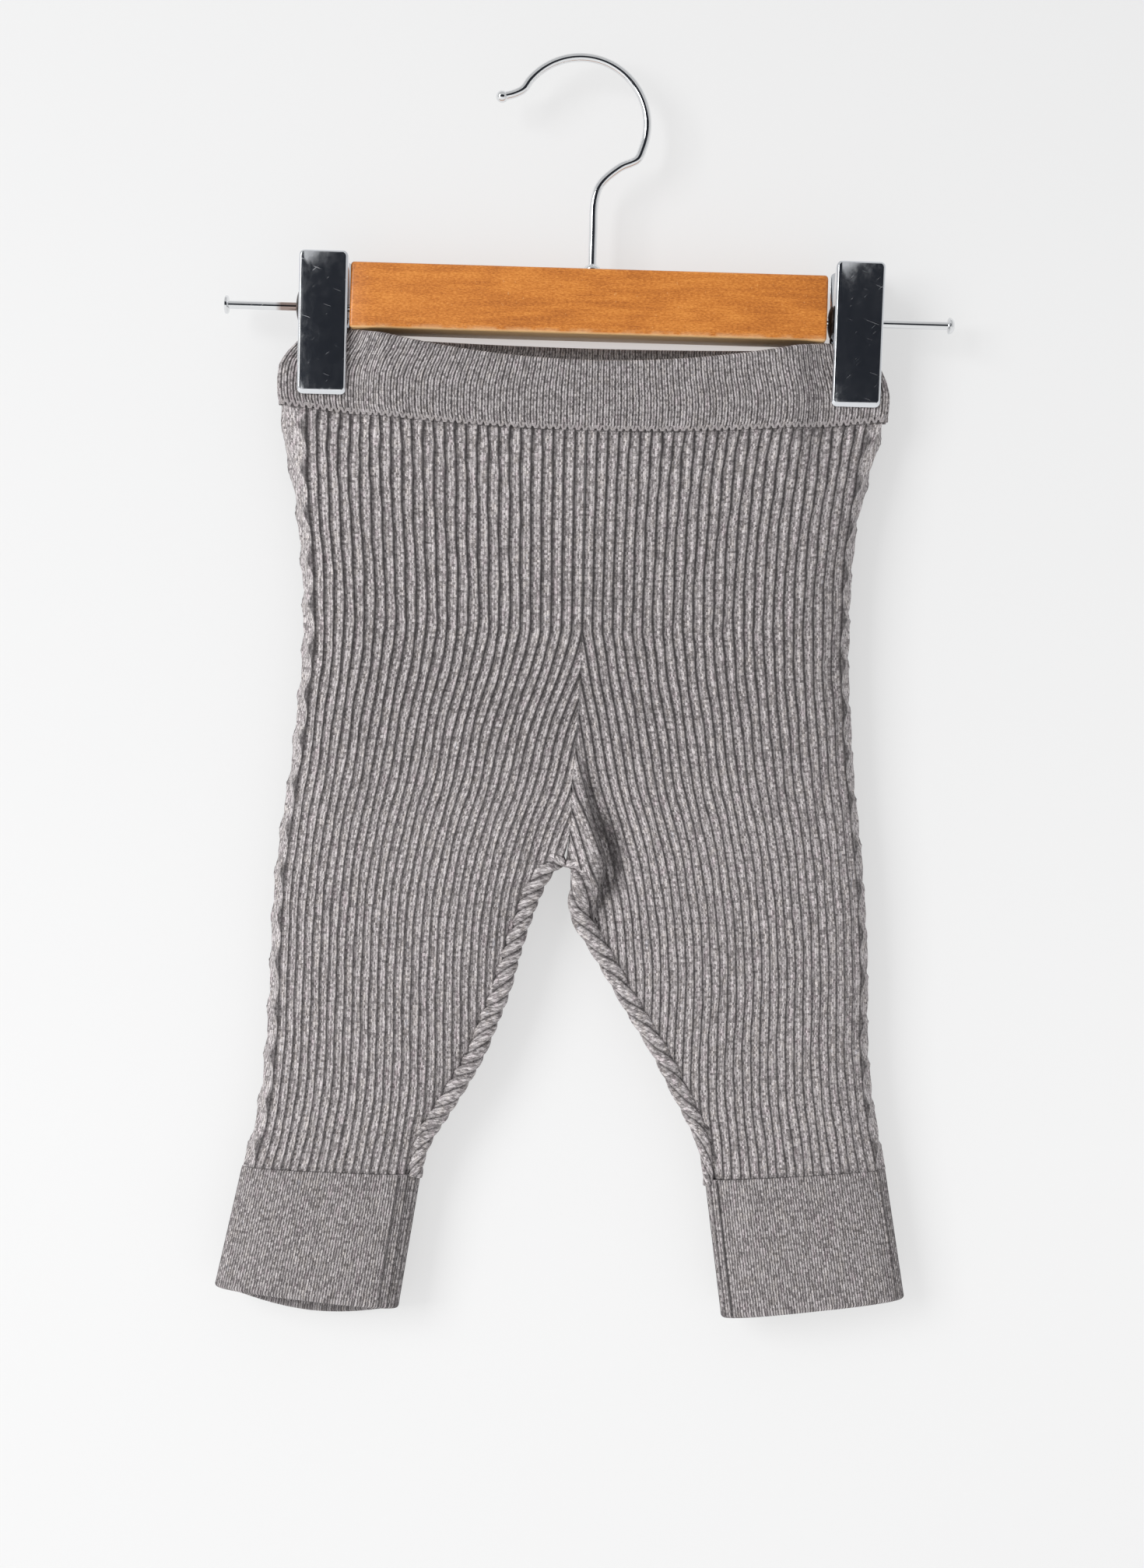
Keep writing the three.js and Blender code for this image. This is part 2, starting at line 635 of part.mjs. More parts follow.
function cuffPoint(side, turn, levelIndex, inset) {
  const { seam, hem } = CUFFS[side < 0 ? 'left' : 'right'];
  const corner = levelIndex === 0 ? seam : hem;
  const section = {
    side,
    z: corner.z,
    outer: corner.outer,
    inner: corner.inner,
    depth: levelIndex === 0 ? CUFF_DEPTH : CUFF_HEM_DEPTH,
    gap: 0,
    relief: 0,
    creased: false,
    closing: () => 1,
    dropAt: (face, f) => corner.drop * f + (face > 0 && corner.backDrop ? (corner.backDrop - corner.drop) * Math.sin(Math.PI * f) : 0),
  };
  const around = ((turn % 1) + 1) % 1 * 2;
  return sectionPoint(section, around <= 1 ? around : around - 2, inset);
}

// Hanger

function solidFrom(geometry) {
  const plain = geometry.clone();
  plain.deleteAttribute('normal');
  plain.deleteAttribute('uv');
  const merged = mergeVertices(plain, 1e-4);
  return new wasm.Manifold(new wasm.Mesh({
    numProp: 3,
    vertProperties: merged.attributes.position.array,
    triVerts: new Uint32Array(merged.index.array),
  }));
}

function geometryFrom(solid) {
  const mesh = solid.getMesh();
  const geometry = new THREE.BufferGeometry();
  geometry.setAttribute('position', new THREE.Float32BufferAttribute(mesh.vertProperties, 3));
  geometry.setIndex([...mesh.triVerts]);
  return geometry;
}

function roundedRectangle(width, height, radius) {
  const shape = new THREE.Shape();
  const x = width / 2 - radius;
  const y = height / 2 - radius;
  shape.absarc(x, y, radius, 0, Math.PI / 2);
  shape.absarc(-x, y, radius, Math.PI / 2, Math.PI);
  shape.absarc(-x, -y, radius, Math.PI, 1.5 * Math.PI);
  shape.absarc(x, -y, radius, 1.5 * Math.PI, 2 * Math.PI);
  shape.closePath();
  return shape;
}

// A shape drawn in (Y, Z) and drawn out along X, centred on it
function alongX(shape, length, curveSegments) {
  const geometry = new THREE.ExtrudeGeometry(shape, { depth: length, bevelEnabled: false, curveSegments });
  geometry.translate(0, 0, -length / 2);
  geometry.rotateX(Math.PI / 2);
  geometry.rotateZ(Math.PI / 2);
  return geometry;
}

function hangerBar() {
  const middleZ = BAR_TOP_Z - BAR_HEIGHT / 2;
  const section = roundedRectangle(BAR_THICKNESS, BAR_HEIGHT, BAR_EDGE);
  const bore = new THREE.Path();
  bore.absarc(0, ROD_Z - middleZ, ROD_RADIUS + CLEARANCE, 0, 2 * Math.PI, true);
  section.holes.push(bore);
  const geometry = alongX(section, BAR_LENGTH, 4);
  geometry.translate(0, 0, middleZ);
  return geometry;
}

// A profile of (along, radius) pairs turned about an axis that runs along X
function turnedAlongX(profile, sides) {
  const points = profile.map(([along, radius]) => new THREE.Vector2(radius, along));
  const geometry = new THREE.LatheGeometry(points, sides);
  geometry.rotateZ(-Math.PI / 2);
  return geometry;
}

function rod() {
  const end = ROD_HALF_LENGTH;
  const geometry = turnedAlongX([
    [-end, 0], [-end, 3.0], [-end + 1.3, 3.0], [-end + 1.8, ROD_RADIUS],
    [end - 2.2, ROD_RADIUS], [end - 2.0, 2.6], [end - 0.8, 2.3], [end, 1.2], [end, 0],
  ], 14);
  geometry.translate(0, 0, ROD_Z);
  return geometry;
}

function hookPath() {
  const centreZ = HOOK_WIRE - HOOK_RADIUS;
  const points = [
    new THREE.Vector3(0.3, 0, BAR_TOP_Z + CLEARANCE + 0.6),
    new THREE.Vector3(0.3, 0, -57),
    new THREE.Vector3(0.5, 0, -46),
    new THREE.Vector3(2.2, 0, -40.6),
    new THREE.Vector3(8.5, 0, -34.8),
  ];
  const degrees = Math.PI / 180;
  for (let angle = -30; angle <= 150; angle += 20) {
    points.push(new THREE.Vector3(
      HOOK_CENTRE_X + HOOK_RADIUS * Math.cos(angle * degrees), 0,
      centreZ + HOOK_RADIUS * Math.sin(angle * degrees),
    ));
  }
  points.push(new THREE.Vector3(-27.4, 0, -11.4), new THREE.Vector3(-31.2, 0, -12.4));
  return new THREE.CatmullRomCurve3(points, false, 'centripetal');
}

function hook() {
  const section = new THREE.Shape();
  section.absarc(0, 0, HOOK_WIRE, 0, 2 * Math.PI);
  const path = hookPath();
  const wire = new THREE.ExtrudeGeometry(section, { steps: 30, extrudePath: path, curveSegments: 4, bevelEnabled: false });
  const tip = new THREE.IcosahedronGeometry(2.0, 1);
  const end = path.getPoint(1);
  tip.translate(end.x, end.y, end.z);
  const collar = new THREE.LatheGeometry([
    new THREE.Vector2(0, 0), new THREE.Vector2(2.6, 0), new THREE.Vector2(2.8, 0.8),
    new THREE.Vector2(2.1, 2.0), new THREE.Vector2(0, 2.2),
  ], 14);
  collar.rotateX(Math.PI / 2);
  collar.translate(0.3, 0, BAR_TOP_Z + CLEARANCE);
  return geometryFrom(solidFrom(wire).add(solidFrom(tip)).add(solidFrom(collar)));
}

// A clip's jaw: a plate that leans in to the cloth, with two ears on the rod
function clipJaw(clipX, face) {
  const height = CLIP_TOP_Z - CLIP_BOTTOM_Z;
  const plate = new THREE.ExtrudeGeometry(roundedRectangle(CLIP_WIDTH, height, 1.6), {
    depth: CLIP_PLATE, bevelEnabled: false, curveSegments: 2,
  });
  plate.translate(0, -height / 2, 0);
  plate.rotateX(Math.PI / 2);
  plate.rotateX(CLIP_TILT);
  const bottomY = CLIP_PINCH + FINE_RELIEF + CLEARANCE;
  const topY = bottomY + height * Math.sin(CLIP_TILT);
  plate.translate(0, -topY, CLIP_TOP_Z);
  let jaw = solidFrom(plate);
  const earX = face < 0 ? CLIP_WIDTH / 2 - CLIP_PLATE / 2 : CLIP_WIDTH / 2 - CLIP_PLATE * 1.5 - CLEARANCE;
  for (const sign of [-1, 1]) {
    const ear = alongX(earShape(topY), CLIP_PLATE, 4);
    ear.translate(sign * earX, 0, 0);
    jaw = jaw.add(solidFrom(ear));
  }
  const bore = turnedAlongX([[-10, 0], [-10, ROD_RADIUS + CLEARANCE], [10, ROD_RADIUS + CLEARANCE], [10, 0]], 12);
  bore.translate(0, 0, ROD_Z);
  const geometry = geometryFrom(jaw.subtract(solidFrom(bore)));
  if (face > 0) geometry.rotateZ(Math.PI);
  geometry.translate(clipX, 0, 0);
  return geometry;
}

// An ear in (Y, Z): from the plate's back round the rod
function earShape(topY) {
  const lean = (z) => -topY + (CLIP_TOP_Z - z) * Math.sin(CLIP_TILT) - CLIP_PLATE / 2;
  const shape = new THREE.Shape();
  shape.moveTo(lean(CLIP_TOP_Z - 1.6), CLIP_TOP_Z - 1.6);
  shape.lineTo(lean(BAND_TOP_Z + 3.5), BAND_TOP_Z + 3.5);
  shape.lineTo(-1.5, ROD_Z - 3.4);
  shape.absarc(0, ROD_Z, 3.7, -1.98, 1.3, false);
  shape.lineTo(lean(CLIP_TOP_Z - 2) + 3.4, CLIP_TOP_Z - 3.5);
  shape.lineTo(lean(CLIP_TOP_Z - 1.6) + 2.4, CLIP_TOP_Z - 1.6);
  shape.closePath();
  return shape;
}

function clipSpring(clipX) {
  const half = 4.9;
  const bore = ROD_RADIUS + CLEARANCE;
  const geometry = turnedAlongX([[-half, bore], [-half, 4.0], [half, 4.0], [half, bore], [-half, bore]], 10);
  geometry.translate(clipX, 0, ROD_Z);
  return geometry;
}

function clipWasher(clipX) {
  const bore = ROD_RADIUS + CLEARANCE;
  const inner = -CLIP_WIDTH / 2 - CLEARANCE;
  const geometry = turnedAlongX([
    [inner - 1.1, bore], [inner - 1.1, 2.4], [inner - 0.6, 4.6], [inner, 5.6], [inner, bore], [inner - 1.1, bore],
  ], 12);
  geometry.translate(clipX, 0, ROD_Z);
  return geometry;
}

// The pieces are drawn about the hook's shaft, and the origin is under the top of its bend
const group = new THREE.Group();
group.position.x = -HOOK_CENTRE_X;

function addPiece(name, geometry, paint) {
  const mesh = new THREE.Mesh(geometry, new THREE.MeshStandardMaterial(PAINT[paint]));
  mesh.name = name;
  group.add(mesh);
}

for (const side of [-1, 1]) {
  const name = side < 0 ? 'left' : 'right';
  addPiece(`leg_${name}`, legPanel(side), 'knit');
  addPiece(`cuff_${name}`, ribbedTube({
    ribs: CUFF_RIBS,
    levels: 2,
    surface: (turn, level, inset) => cuffPoint(side, turn, level, inset),
    relief: FINE_RELIEF,
    innerSteps: 28,
    outward: side,
  }), 'knit');
  addPiece(`clip_${name}_front`, clipJaw(CLIP_X[name], -1), 'steel');
  addPiece(`clip_${name}_back`, clipJaw(CLIP_X[name], 1), 'steel');
  addPiece(`clip_${name}_spring`, clipSpring(CLIP_X[name]), 'dark');
  addPiece(`clip_${name}_washer`, clipWasher(CLIP_X[name]), 'dark');
}
addPiece('waistband', ribbedTube({
  ribs: BAND_RIBS, levels: BAND_LEVELS.length, surface: bandPoint, relief: FINE_RELIEF, innerSteps: 44, outward: 1,
}), 'knit');
addPiece('hanger_bar', hangerBar(), 'wood');
addPiece('rod', rod(), 'steel');
addPiece('hook', hook(), 'steel');

export default group;
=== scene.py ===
# Baby leggings in ribbed knit, clipped by the waist to a small wooden hanger.
# Shapes are worked out in millimetres about the hook's shaft and made in metres in the frame,
# whose origin lies under the top of the hook's bend. Left and right are the viewer's.
import math
from dataclasses import dataclass
from typing import Callable

import bmesh
import bpy
import numpy as np
from mathutils import Matrix, Vector


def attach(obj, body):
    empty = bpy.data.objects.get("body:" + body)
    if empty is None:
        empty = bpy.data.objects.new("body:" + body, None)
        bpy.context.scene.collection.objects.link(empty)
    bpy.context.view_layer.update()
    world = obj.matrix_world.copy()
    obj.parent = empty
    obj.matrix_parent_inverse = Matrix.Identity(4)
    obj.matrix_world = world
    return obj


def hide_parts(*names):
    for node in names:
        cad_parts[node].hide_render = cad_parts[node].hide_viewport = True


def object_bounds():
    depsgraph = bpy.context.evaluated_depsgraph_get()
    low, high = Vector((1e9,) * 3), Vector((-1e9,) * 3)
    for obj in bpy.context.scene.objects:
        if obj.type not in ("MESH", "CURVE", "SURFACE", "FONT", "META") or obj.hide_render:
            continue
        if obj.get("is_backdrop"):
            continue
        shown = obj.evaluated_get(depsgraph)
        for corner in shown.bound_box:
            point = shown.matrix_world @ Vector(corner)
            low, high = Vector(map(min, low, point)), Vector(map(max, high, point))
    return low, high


MM = 0.001
ORIGIN_FROM_SHAFT = 5.0

# Cloth
WALL = 2.0
SEAM_GAP = 0.06
SECTION_POWER = 2.4
FOLD_REACH = 27.0
SECTION_STEPS = 90
STEP_SHARES = (1 - np.cos(np.pi * np.arange(SECTION_STEPS + 1) / SECTION_STEPS)) / 2

# How clips press the cloth: fully up to one distance from a clip's middle and not beyond the other,
# and fully from one height up and not below the other
PRESS_NEAR = 9.0
PRESS_FAR = 22.0
PRESS_FULL_Z = -113.0
PRESS_END_Z = -140.0

# Leg panels: heights are at the side fold, and a course of knitting sits lower at the middle
WAIST_SEAM_Z = -116.0
CUFF_SEAM_Z = -367.0
CROTCH_Z = -262.0
CROTCH_ROUNDING = 14.0
CROTCH_SPREAD = 0.8
COURSE_DROP = 5.0
# Beside the cuffs: how much lower a course starts at the side fold, and how much less it drops inwards
CUFF_COURSES = {-1: (1.8, 4.1), 1: (-3.5, 0.0)}
CUFF_COURSES_FROM_Z = -300.0
WAIST_EXTRA_DROP = 1.6
COURSE_BOW_FROM_Z = -202.0
COURSE_BOW_END_Z = -282.0
BACK_LEVEL_Z = -200.0
# How far the inseam lies round on the front, in ribs: below the crotch and at the cuff
SEAM_OFFSET_END_Z = -273.0
SEAM_OFFSET_RIBS = 2.0
CUFF_OFFSET_RIBS = 1.3
CUFF_OFFSET_FROM_Z = -340.0
# Between these heights the cloth is fully uneven
UNEVEN_FROM_Z = -135.0
UNEVEN_END_Z = -350.0
# Spacing of the rows of points, outside and inside
ROW_STEP = 1.9
INNER_ROW_STEP = 6.0

# Side cable, in ribs across and millimetres along
CABLE_HALF_RIBS = 1.75
CABLE_PITCH = 14.8
CABLE_RELIEF = 1.7
CABLE_SWING = 0.8
CABLE_STRAND = 0.95
# How far its middle is turned from the side fold, in ribs: low down and at the waist
CABLE_TURN_RIBS = {-1: (0.8, 1.4), 1: (0.5, 0.9)}
CABLE_TURN_END_Z = -160.0

# Ribs from the cable's middle to the centre seam, down to where new ones start there
BODY_RIBS = 27.75
NEW_RIBS_Z = -184.0
NEW_RIBS_FADE = 40.0
MOST_RIBS = 41

# Ribs: relief, half widths of a groove and of its painted shade, and the lines of points in each
RIB_RELIEF = 1.0
GROOVE_HALF = 0.11
PAINTED_SHADE_HALF = 0.138
COLUMN_SHARES = (0.0, 0.06, 0.12, 0.2, 0.35, 0.5, 0.65, 0.8, 0.88, 0.94)
CABLE_COLUMN = 0.1

# Outline of the legs: distances from the middle, width of one rib and half depth
LEG_COLUMNS = ("z", "outer_left", "outer_right", "inner_left", "inner_right", "pitch", "depth")
LEG_ROWS = (
    (-116, 101.8, 99.6, 0.0, 0.0, 3.56, 8.0),
    (-125, 101.0, 97.6, 0.0, 0.0, 3.54, 8.0),
    (-140, 98.2, 93.9, 0.1, 0.1, 3.52, 8.3),
    (-155, 95.7, 91.1, 0.2, 0.2, 3.47, 8.6),
    (-175, 93.5, 90.0, 0.4, 0.4, 3.41, 8.6),
    (-195, 92.7, 90.0, 0.5, 0.5, 3.27, 8.4),
    (-215, 93.8, 91.3, 0.0, 0.0, 3.15, 8.2),
    (-235, 95.4, 93.0, -1.5, -1.5, 3.06, 8.0),
    (-250, 97.3, 94.9, -1.7, -1.7, 2.95, 7.8),
    (-262, 98.6, 96.4, -3.2, -3.2, 2.88, 7.6),
    (-267, 99.1, 96.9, -6.6, -3.0, 2.86, 7.5),
    (-272, 99.5, 97.4, -10.0, -2.6, 2.84, 7.4),
    (-285, 100.1, 98.6, -14.0, 3.2, 2.81, 7.2),
    (-300, 100.3, 99.5, -17.6, 12.8, 2.80, 7.0),
    (-320, 100.7, 100.0, -25.0, 25.4, 2.84, 6.8),
    (-340, 102.0, 101.9, -35.4, 35.9, 2.92, 6.6),
    (-355, 104.4, 104.6, -43.8, 43.5, 2.97, 6.5),
    (-367, 107.6, 107.2, -47.6, 46.6, 3.06, 6.5),
)

# Folds by the crotch, over the front: half widths to the left and the right of a line
# whose points are (x, z, depth sunk)
CREASES = (
    (1.6, 10.0, (
        (2.0, -226, 0), (3.6, -238, 2.4), (5.8, -249, 5.0), (8.8, -259, 7.4), (9.8, -266, 8.0),
        (9.4, -272, 6.8), (8.2, -279, 4.2), (9.0, -288, 1.4), (12.0, -298, 0),
    )),
    (4.0, 2.4, (
        (-1.0, -228, 0), (1.4, -246, -1.6), (4.4, -259, -2.9), (5.2, -267, -3.2), (4.4, -276, -2.0),
        (3.0, -284, 0),
    )),
    (6.0, 6.0, ((-30.0, -236, 0), (-20.0, -252, 0.5), (-12.0, -262, 0.9), (-12.0, -270, 0))),
    (7.0, 7.0, ((40.0, -246, 0), (26.0, -268, 0.8), (22.0, -290, 0.9), (24.0, -312, 0))),
)

# The lip on the valley's left: its lean, the depth it is for, its distance from the line and half width
LIP_LEAN = 2.6
LIP_DEPTH = 8.0
LIP_BACK = 2.4
LIP_HALF = 1.9

# The deep shade in the valley: its strength, distance from the line and half width
VALLEY_SHADE = 0.78
VALLEY_MIDDLE = 2.8
VALLEY_HALF = 4.4

# The inseam, rolled forward over the fold like a rope, from the middle of the arch down to each cuff:
# points of its middle line, each with its radius
INSEAMS = {
    -1: (
        (-2.6, -3.6, -264.4, 2.6), (-7.2, -3.7, -265.9, 2.8), (-11.2, -3.7, -271.6, 3.0),
        (-15.0, -3.2, -282.2, 2.6), (-19.2, -3.1, -296.0, 2.8), (-22.0, -3.1, -307.4, 2.8),
        (-25.4, -3.0, -317.2, 2.8), (-29.8, -3.0, -329.2, 2.6), (-35.4, -3.0, -339.6, 2.7),
        (-41.4, -3.0, -349.8, 2.6), (-45.4, -2.8, -356.4, 2.5), (-47.8, -2.6, -363.4, 2.1),
        (-48.8, -2.6, -371.0, 1.9),
    ),
    1: (
        (-2.6, -3.6, -264.4, 2.6), (1.2, -4.3, -266.2, 2.9), (2.6, -5.2, -271.0, 3.5),
        (2.0, -5.2, -276.8, 3.6), (1.8, -4.6, -281.0, 3.2), (3.8, -3.6, -285.8, 3.0),
        (9.6, -3.1, -294.4, 2.9), (15.9, -3.1, -304.7, 2.8), (23.4, -3.0, -316.6, 2.8),
        (30.2, -3.0, -327.0, 2.8), (35.6, -3.0, -337.0, 2.8), (40.8, -2.9, -346.6, 2.6),
        (45.0, -2.6, -355.8, 2.2), (46.9, -2.5, -364.6, 1.7), (47.3, -2.5, -371.0, 1.5),
    ),
}
# Length of a strand's turn, swell away from the opening, and how far the panels' edges tuck in behind
INSEAM_TWIST = {-1: 5.4, 1: 9.0}
INSEAM_SWELL = {-1: 1.25, 1: 1.12}
INSEAM_TUCK = 2.0
INSEAM_STEP = 0.55
INSEAM_SIDES = 44
INSEAM_STRANDS = 3
INSEAM_RELIEF = 0.40
INSEAM_FLATTENED = 0.88
INSEAM_ROUNDNESS = 0.6
# How dark the painted shade between the rope's strands is
INSEAM_PAINTED_SHADE = 0.95

# Waistband: share of its height above the linked seam, outer distances and half depth
BAND_COLUMNS = ("rise", "outer_left", "outer_right", "depth")
BAND_ROWS = (
    (0.0, 101.6, 99.2, 7.9),
    (0.1, 102.3, 99.6, 8.6),
    (0.3, 102.6, 99.8, 8.8),
    (0.5, 102.2, 98.8, 9.0),
    (0.7, 99.6, 96.7, 9.3),
    (0.86, 96.2, 95.4, 9.6),
    (1.0, 93.6, 94.6, 9.8),
)
BAND_TOP_Z = -92.5
BAND_FRONT_SAG = 9.0
BAND_BACK_SAG = 1.6
BAND_SAG_HALF = 82.0
BAND_HALF_WIDTH = 100.0

# Cuffs, at the seam and at the hem: outer and inner distance from the middle, height at the outer
# fold, how much lower the front ends at the inner fold, and the same with the back's sag added
CUFFS = {
    -1: {"seam": (106.9, 47.6, -369.1, 0.9, 0.9), "hem": (114.6, 53.6, -408.0, 5.4, 11.4)},
    1: {"seam": (106.2, 46.6, -363.8, 5.2, 5.2), "hem": (113.6, 53.2, -405.3, 8.0, 8.5)},
}
# Grooves between the wide wales near a cuff's edges: distance from the inner fold and strength
CUFF_GROOVES = {
    -1: ((3.2, 0.8), (6.0, 1.0), (9.0, 0.9)),
    1: ((3.0, 0.7), (5.6, 1.0), (58.6, 0.9)),
}
CUFF_GROOVE_HALF = 0.34
# Half depths, the length round a face as a share of its width, and how flat the back's sag is
CUFF_DEPTH = 6.4
CUFF_HEM_DEPTH = 7.2
CUFF_ROUND = 1.06
HEM_SAG_POWER = 0.8

# Knit stitches
WALES_PER_RIB = 3
COURSE = 0.85

# Hanger
BAR_LENGTH = 157.0
BAR_MIDDLE_X = -0.5
BAR_HEIGHT = 21.6
BAR_THICKNESS = 13.0
BAR_TOP_Z = -69.9
ROD_RADIUS = 1.35
ROD_Z = -84.0
ROD_HALF_LENGTH = 121.0
CLEARANCE = 0.3
BAR_EDGE = 0.9
BAR_STATIONS = ((0.0, 0.8), (0.2, 0.38), (0.6, 0.1), (1.1, 0.0))
CLIP_X = {-1: -87.7, 1: 88.4}
CLIP_WIDTH = 16.0
# Top and bottom of each clip's plates
CLIP_ENDS_Z = {-1: (-67.0, -113.6), 1: (-65.5, -112.7)}
CLIP_PLATE = 1.1
CLIP_PINCH = 3.3
CLIP_BACK = CLIP_PINCH + 0.35 + CLEARANCE
CLIP_TILT = 0.085
CLIP_BEVEL = 0.7
CLIP_LIP = 1.1
CLIP_CORNER = 1.8
EAR_RADIUS = 3.7
HOOK_WIRE = 1.4
HOOK_RADIUS = 22.2
HOOK_CENTRE_X = -5.0
HOOK_FOOT_X = 0.3
HARD_EDGE = math.radians(32)

# Camera, from the photo's frame
PHOTO_WIDTH = 1470
PHOTO_HEIGHT = 2014
VIEW_DISTANCE = 680.0
VIEW_SCALE = 0.258
VIEW_CENTRE = (-1.3, -239.4)
VIEW_ROLL = math.radians(1.7)
SENSOR = 36.0

SIDE_NAMES = {-1: "left", 1: "right"}


# Curves and tables

def smooth(edge0, edge1, value):
    t = np.clip((value - edge0) / (edge1 - edge0), 0, 1)
    return t * t * (3 - 2 * t)


def value_at(columns, rows, name, at):
    """One column of a table at one place, on a smooth curve through its rows."""
    key = np.array([row[0] for row in rows], float)
    values = np.array([row[columns.index(name)] for row in rows], float)
    slopes = np.diff(values) / np.diff(key)
    tangents = np.concatenate(([slopes[0]], np.zeros(len(rows) - 2), [slopes[-1]]))
    for k in range(1, len(rows) - 1):
        before, after = slopes[k - 1], slopes[k]
        if before * after > 0:
            tangents[k] = 2 * before * after / (before + after)
    direction = np.sign(key[-1] - key[0])
    i = int(np.clip(np.searchsorted(key * direction, at * direction) - 1, 0, len(rows) - 2))
    span = key[i + 1] - key[i]
    t = min(max((at - key[i]) / span, 0), 1)
    t2, t3 = t * t, t * t * t
    return (
        (2 * t3 - 3 * t2 + 1) * values[i]
        + (t3 - 2 * t2 + t) * span * tangents[i]
        + (3 * t2 - 2 * t3) * values[i + 1]
        + (t3 - t2) * span * tangents[i + 1]
    )


# Sections of the cloth

@dataclass
class Section:
    side: int
    z: float
    outer: float
    inner: float
    depth: float
    closing: Callable
    drop: Callable
    gap: float = 0.0
    tuck: float = 0.0
    creased: bool = False


def leg_closing(z, inset, distance):
    """How far a leg has closed into a tube: 0 above the crotch and 1 below it."""
    reach = CROTCH_ROUNDING + CROTCH_SPREAD * distance
    t = np.clip((CROTCH_Z + CROTCH_ROUNDING + inset - z) / reach, 0, 1)
    return 1 - np.sqrt(1 - t * t)


def rounding(distance):
    """Share of the full half depth at a distance in from a fold."""
    left = 1 - np.clip(distance / FOLD_REACH, 0, 1)
    return (1 - left**SECTION_POWER) ** (1 / SECTION_POWER)


def pinch_at(x, z):
    """How hard a clip presses the cloth flat at a point."""
    away = np.minimum(np.abs(x - CLIP_X[-1]), np.abs(x - CLIP_X[1]))
    return (1 - smooth(PRESS_NEAR, PRESS_FAR, away)) * smooth(PRESS_END_Z, PRESS_FULL_Z, z)


def beside(path, x, z):
    """Signed distance from a path, positive to its right, and the depth at its nearest point."""
    best = np.full_like(x, np.inf)
    sunk = np.zeros_like(x)
    for (ax, az, a_sunk), (bx, bz, b_sunk) in zip(path, path[1:]):
        along = ((x - ax) * (bx - ax) + (z - az) * (bz - az)) / ((bx - ax) ** 2 + (bz - az) ** 2)
        t = np.clip(along, 0, 1)
        distance = np.hypot(x - ax - t * (bx - ax), z - az - t * (bz - az))
        right = (x - ax) * (az - bz) + (z - az) * (bx - ax) > 0
        nearer = distance < np.abs(best)
        best = np.where(nearer, np.where(right, distance, -distance), best)
        sunk = np.where(nearer, a_sunk + t * (b_sunk - a_sunk), sunk)
    return best, sunk


def crease_at(x, z):
    """How far the front is sunk by the folds at the crotch."""
    total = np.zeros_like(x)
    for left_half, right_half, path in CREASES:
        distance, sunk = beside(path, x, z)
        total += sunk * np.exp(-((distance / np.where(distance > 0, right_half, left_half)) ** 2))
    return total


def lip_lean(x, z):
    """How far the fold's lip leans to the right, over the valley beside it."""
    distance, sunk = beside(CREASES[0][2], x, z)
    return LIP_LEAN * sunk / LIP_DEPTH * np.exp(-(((distance + LIP_BACK) / LIP_HALF) ** 2))


def half_section(section, inset):
    """Half a cross section from the outer fold to the middle or the inner fold."""
    closed = section.closing(inset, 0.0)
    start = section.side * (section.outer - inset)
    end = section.side * (section.inner + section.gap + inset * closed + section.tuck * closed**3)
    x = start + (end - start) * STEP_SHARES
    from_inner = np.abs(end - x)
    inner_end = 1 - section.closing(inset, from_inner) * (1 - rounding(from_inner))
    free = (section.depth - inset) * rounding(np.abs(x - start)) * inner_end
    press = pinch_at(x, section.z)
    y = free + (np.minimum(free, CLIP_PINCH - inset) - free) * press
    length = np.concatenate(([0], np.cumsum(np.hypot(np.diff(x), np.diff(y)))))
    return x, y, length


def section_points(section, shares, inset):
    """Points at shares of the way round: 0 is the outer fold, 1 and -1 the inner end."""
    x, y, length = half_section(section, inset)
    folded = section.closing(inset, 0.0) >= 1
    beyond = np.maximum(0, np.abs(shares) - 1)
    around = np.abs(shares) - beyond * (2 if folded else 1)
    past_fold = (beyond > 0) & folded
    face = np.where((shares >= 0) == past_fold, 1.0, -1.0)
    want = around * length[-1]
    f = np.interp(want, length, STEP_SHARES)
    px = np.interp(want, length, x)
    py = np.interp(want, length, y) * face
    if not folded:
        px = px - section.side * beyond * length[-1]
    pz = section.z - section.drop(face, f)
    if section.creased:
        off_waist = smooth(WAIST_SEAM_Z, UNEVEN_FROM_Z, section.z)
        level = off_waist * smooth(CUFF_SEAM_Z, UNEVEN_END_Z, section.z)
        py = py + np.where(face < 0, crease_at(px, pz), 0)
        px = px + np.where(face < 0, lip_lean(px, pz), 0)
        py = py + undulation(px, pz) * level * np.minimum(1, np.abs(py) / 4) * np.where(face < 0, 1, 0.6)
    return np.stack([px, py, pz], axis=-1)


def raised(place, a, b, step_a, step_b, height, outward):
    """Points moved off a smooth surface along its own normal."""
    points = place(a, b)
    along_a = place(a + step_a, b) - place(a - step_a, b)
    along_b = place(a, b + step_b) - place(a, b - step_b)
    normal = np.cross(along_a, along_b)
    normal /= np.maximum(np.linalg.norm(normal, axis=1, keepdims=True), 1e-9)
    return points + normal * (outward * np.asarray(height))[:, None]


# Leg panels

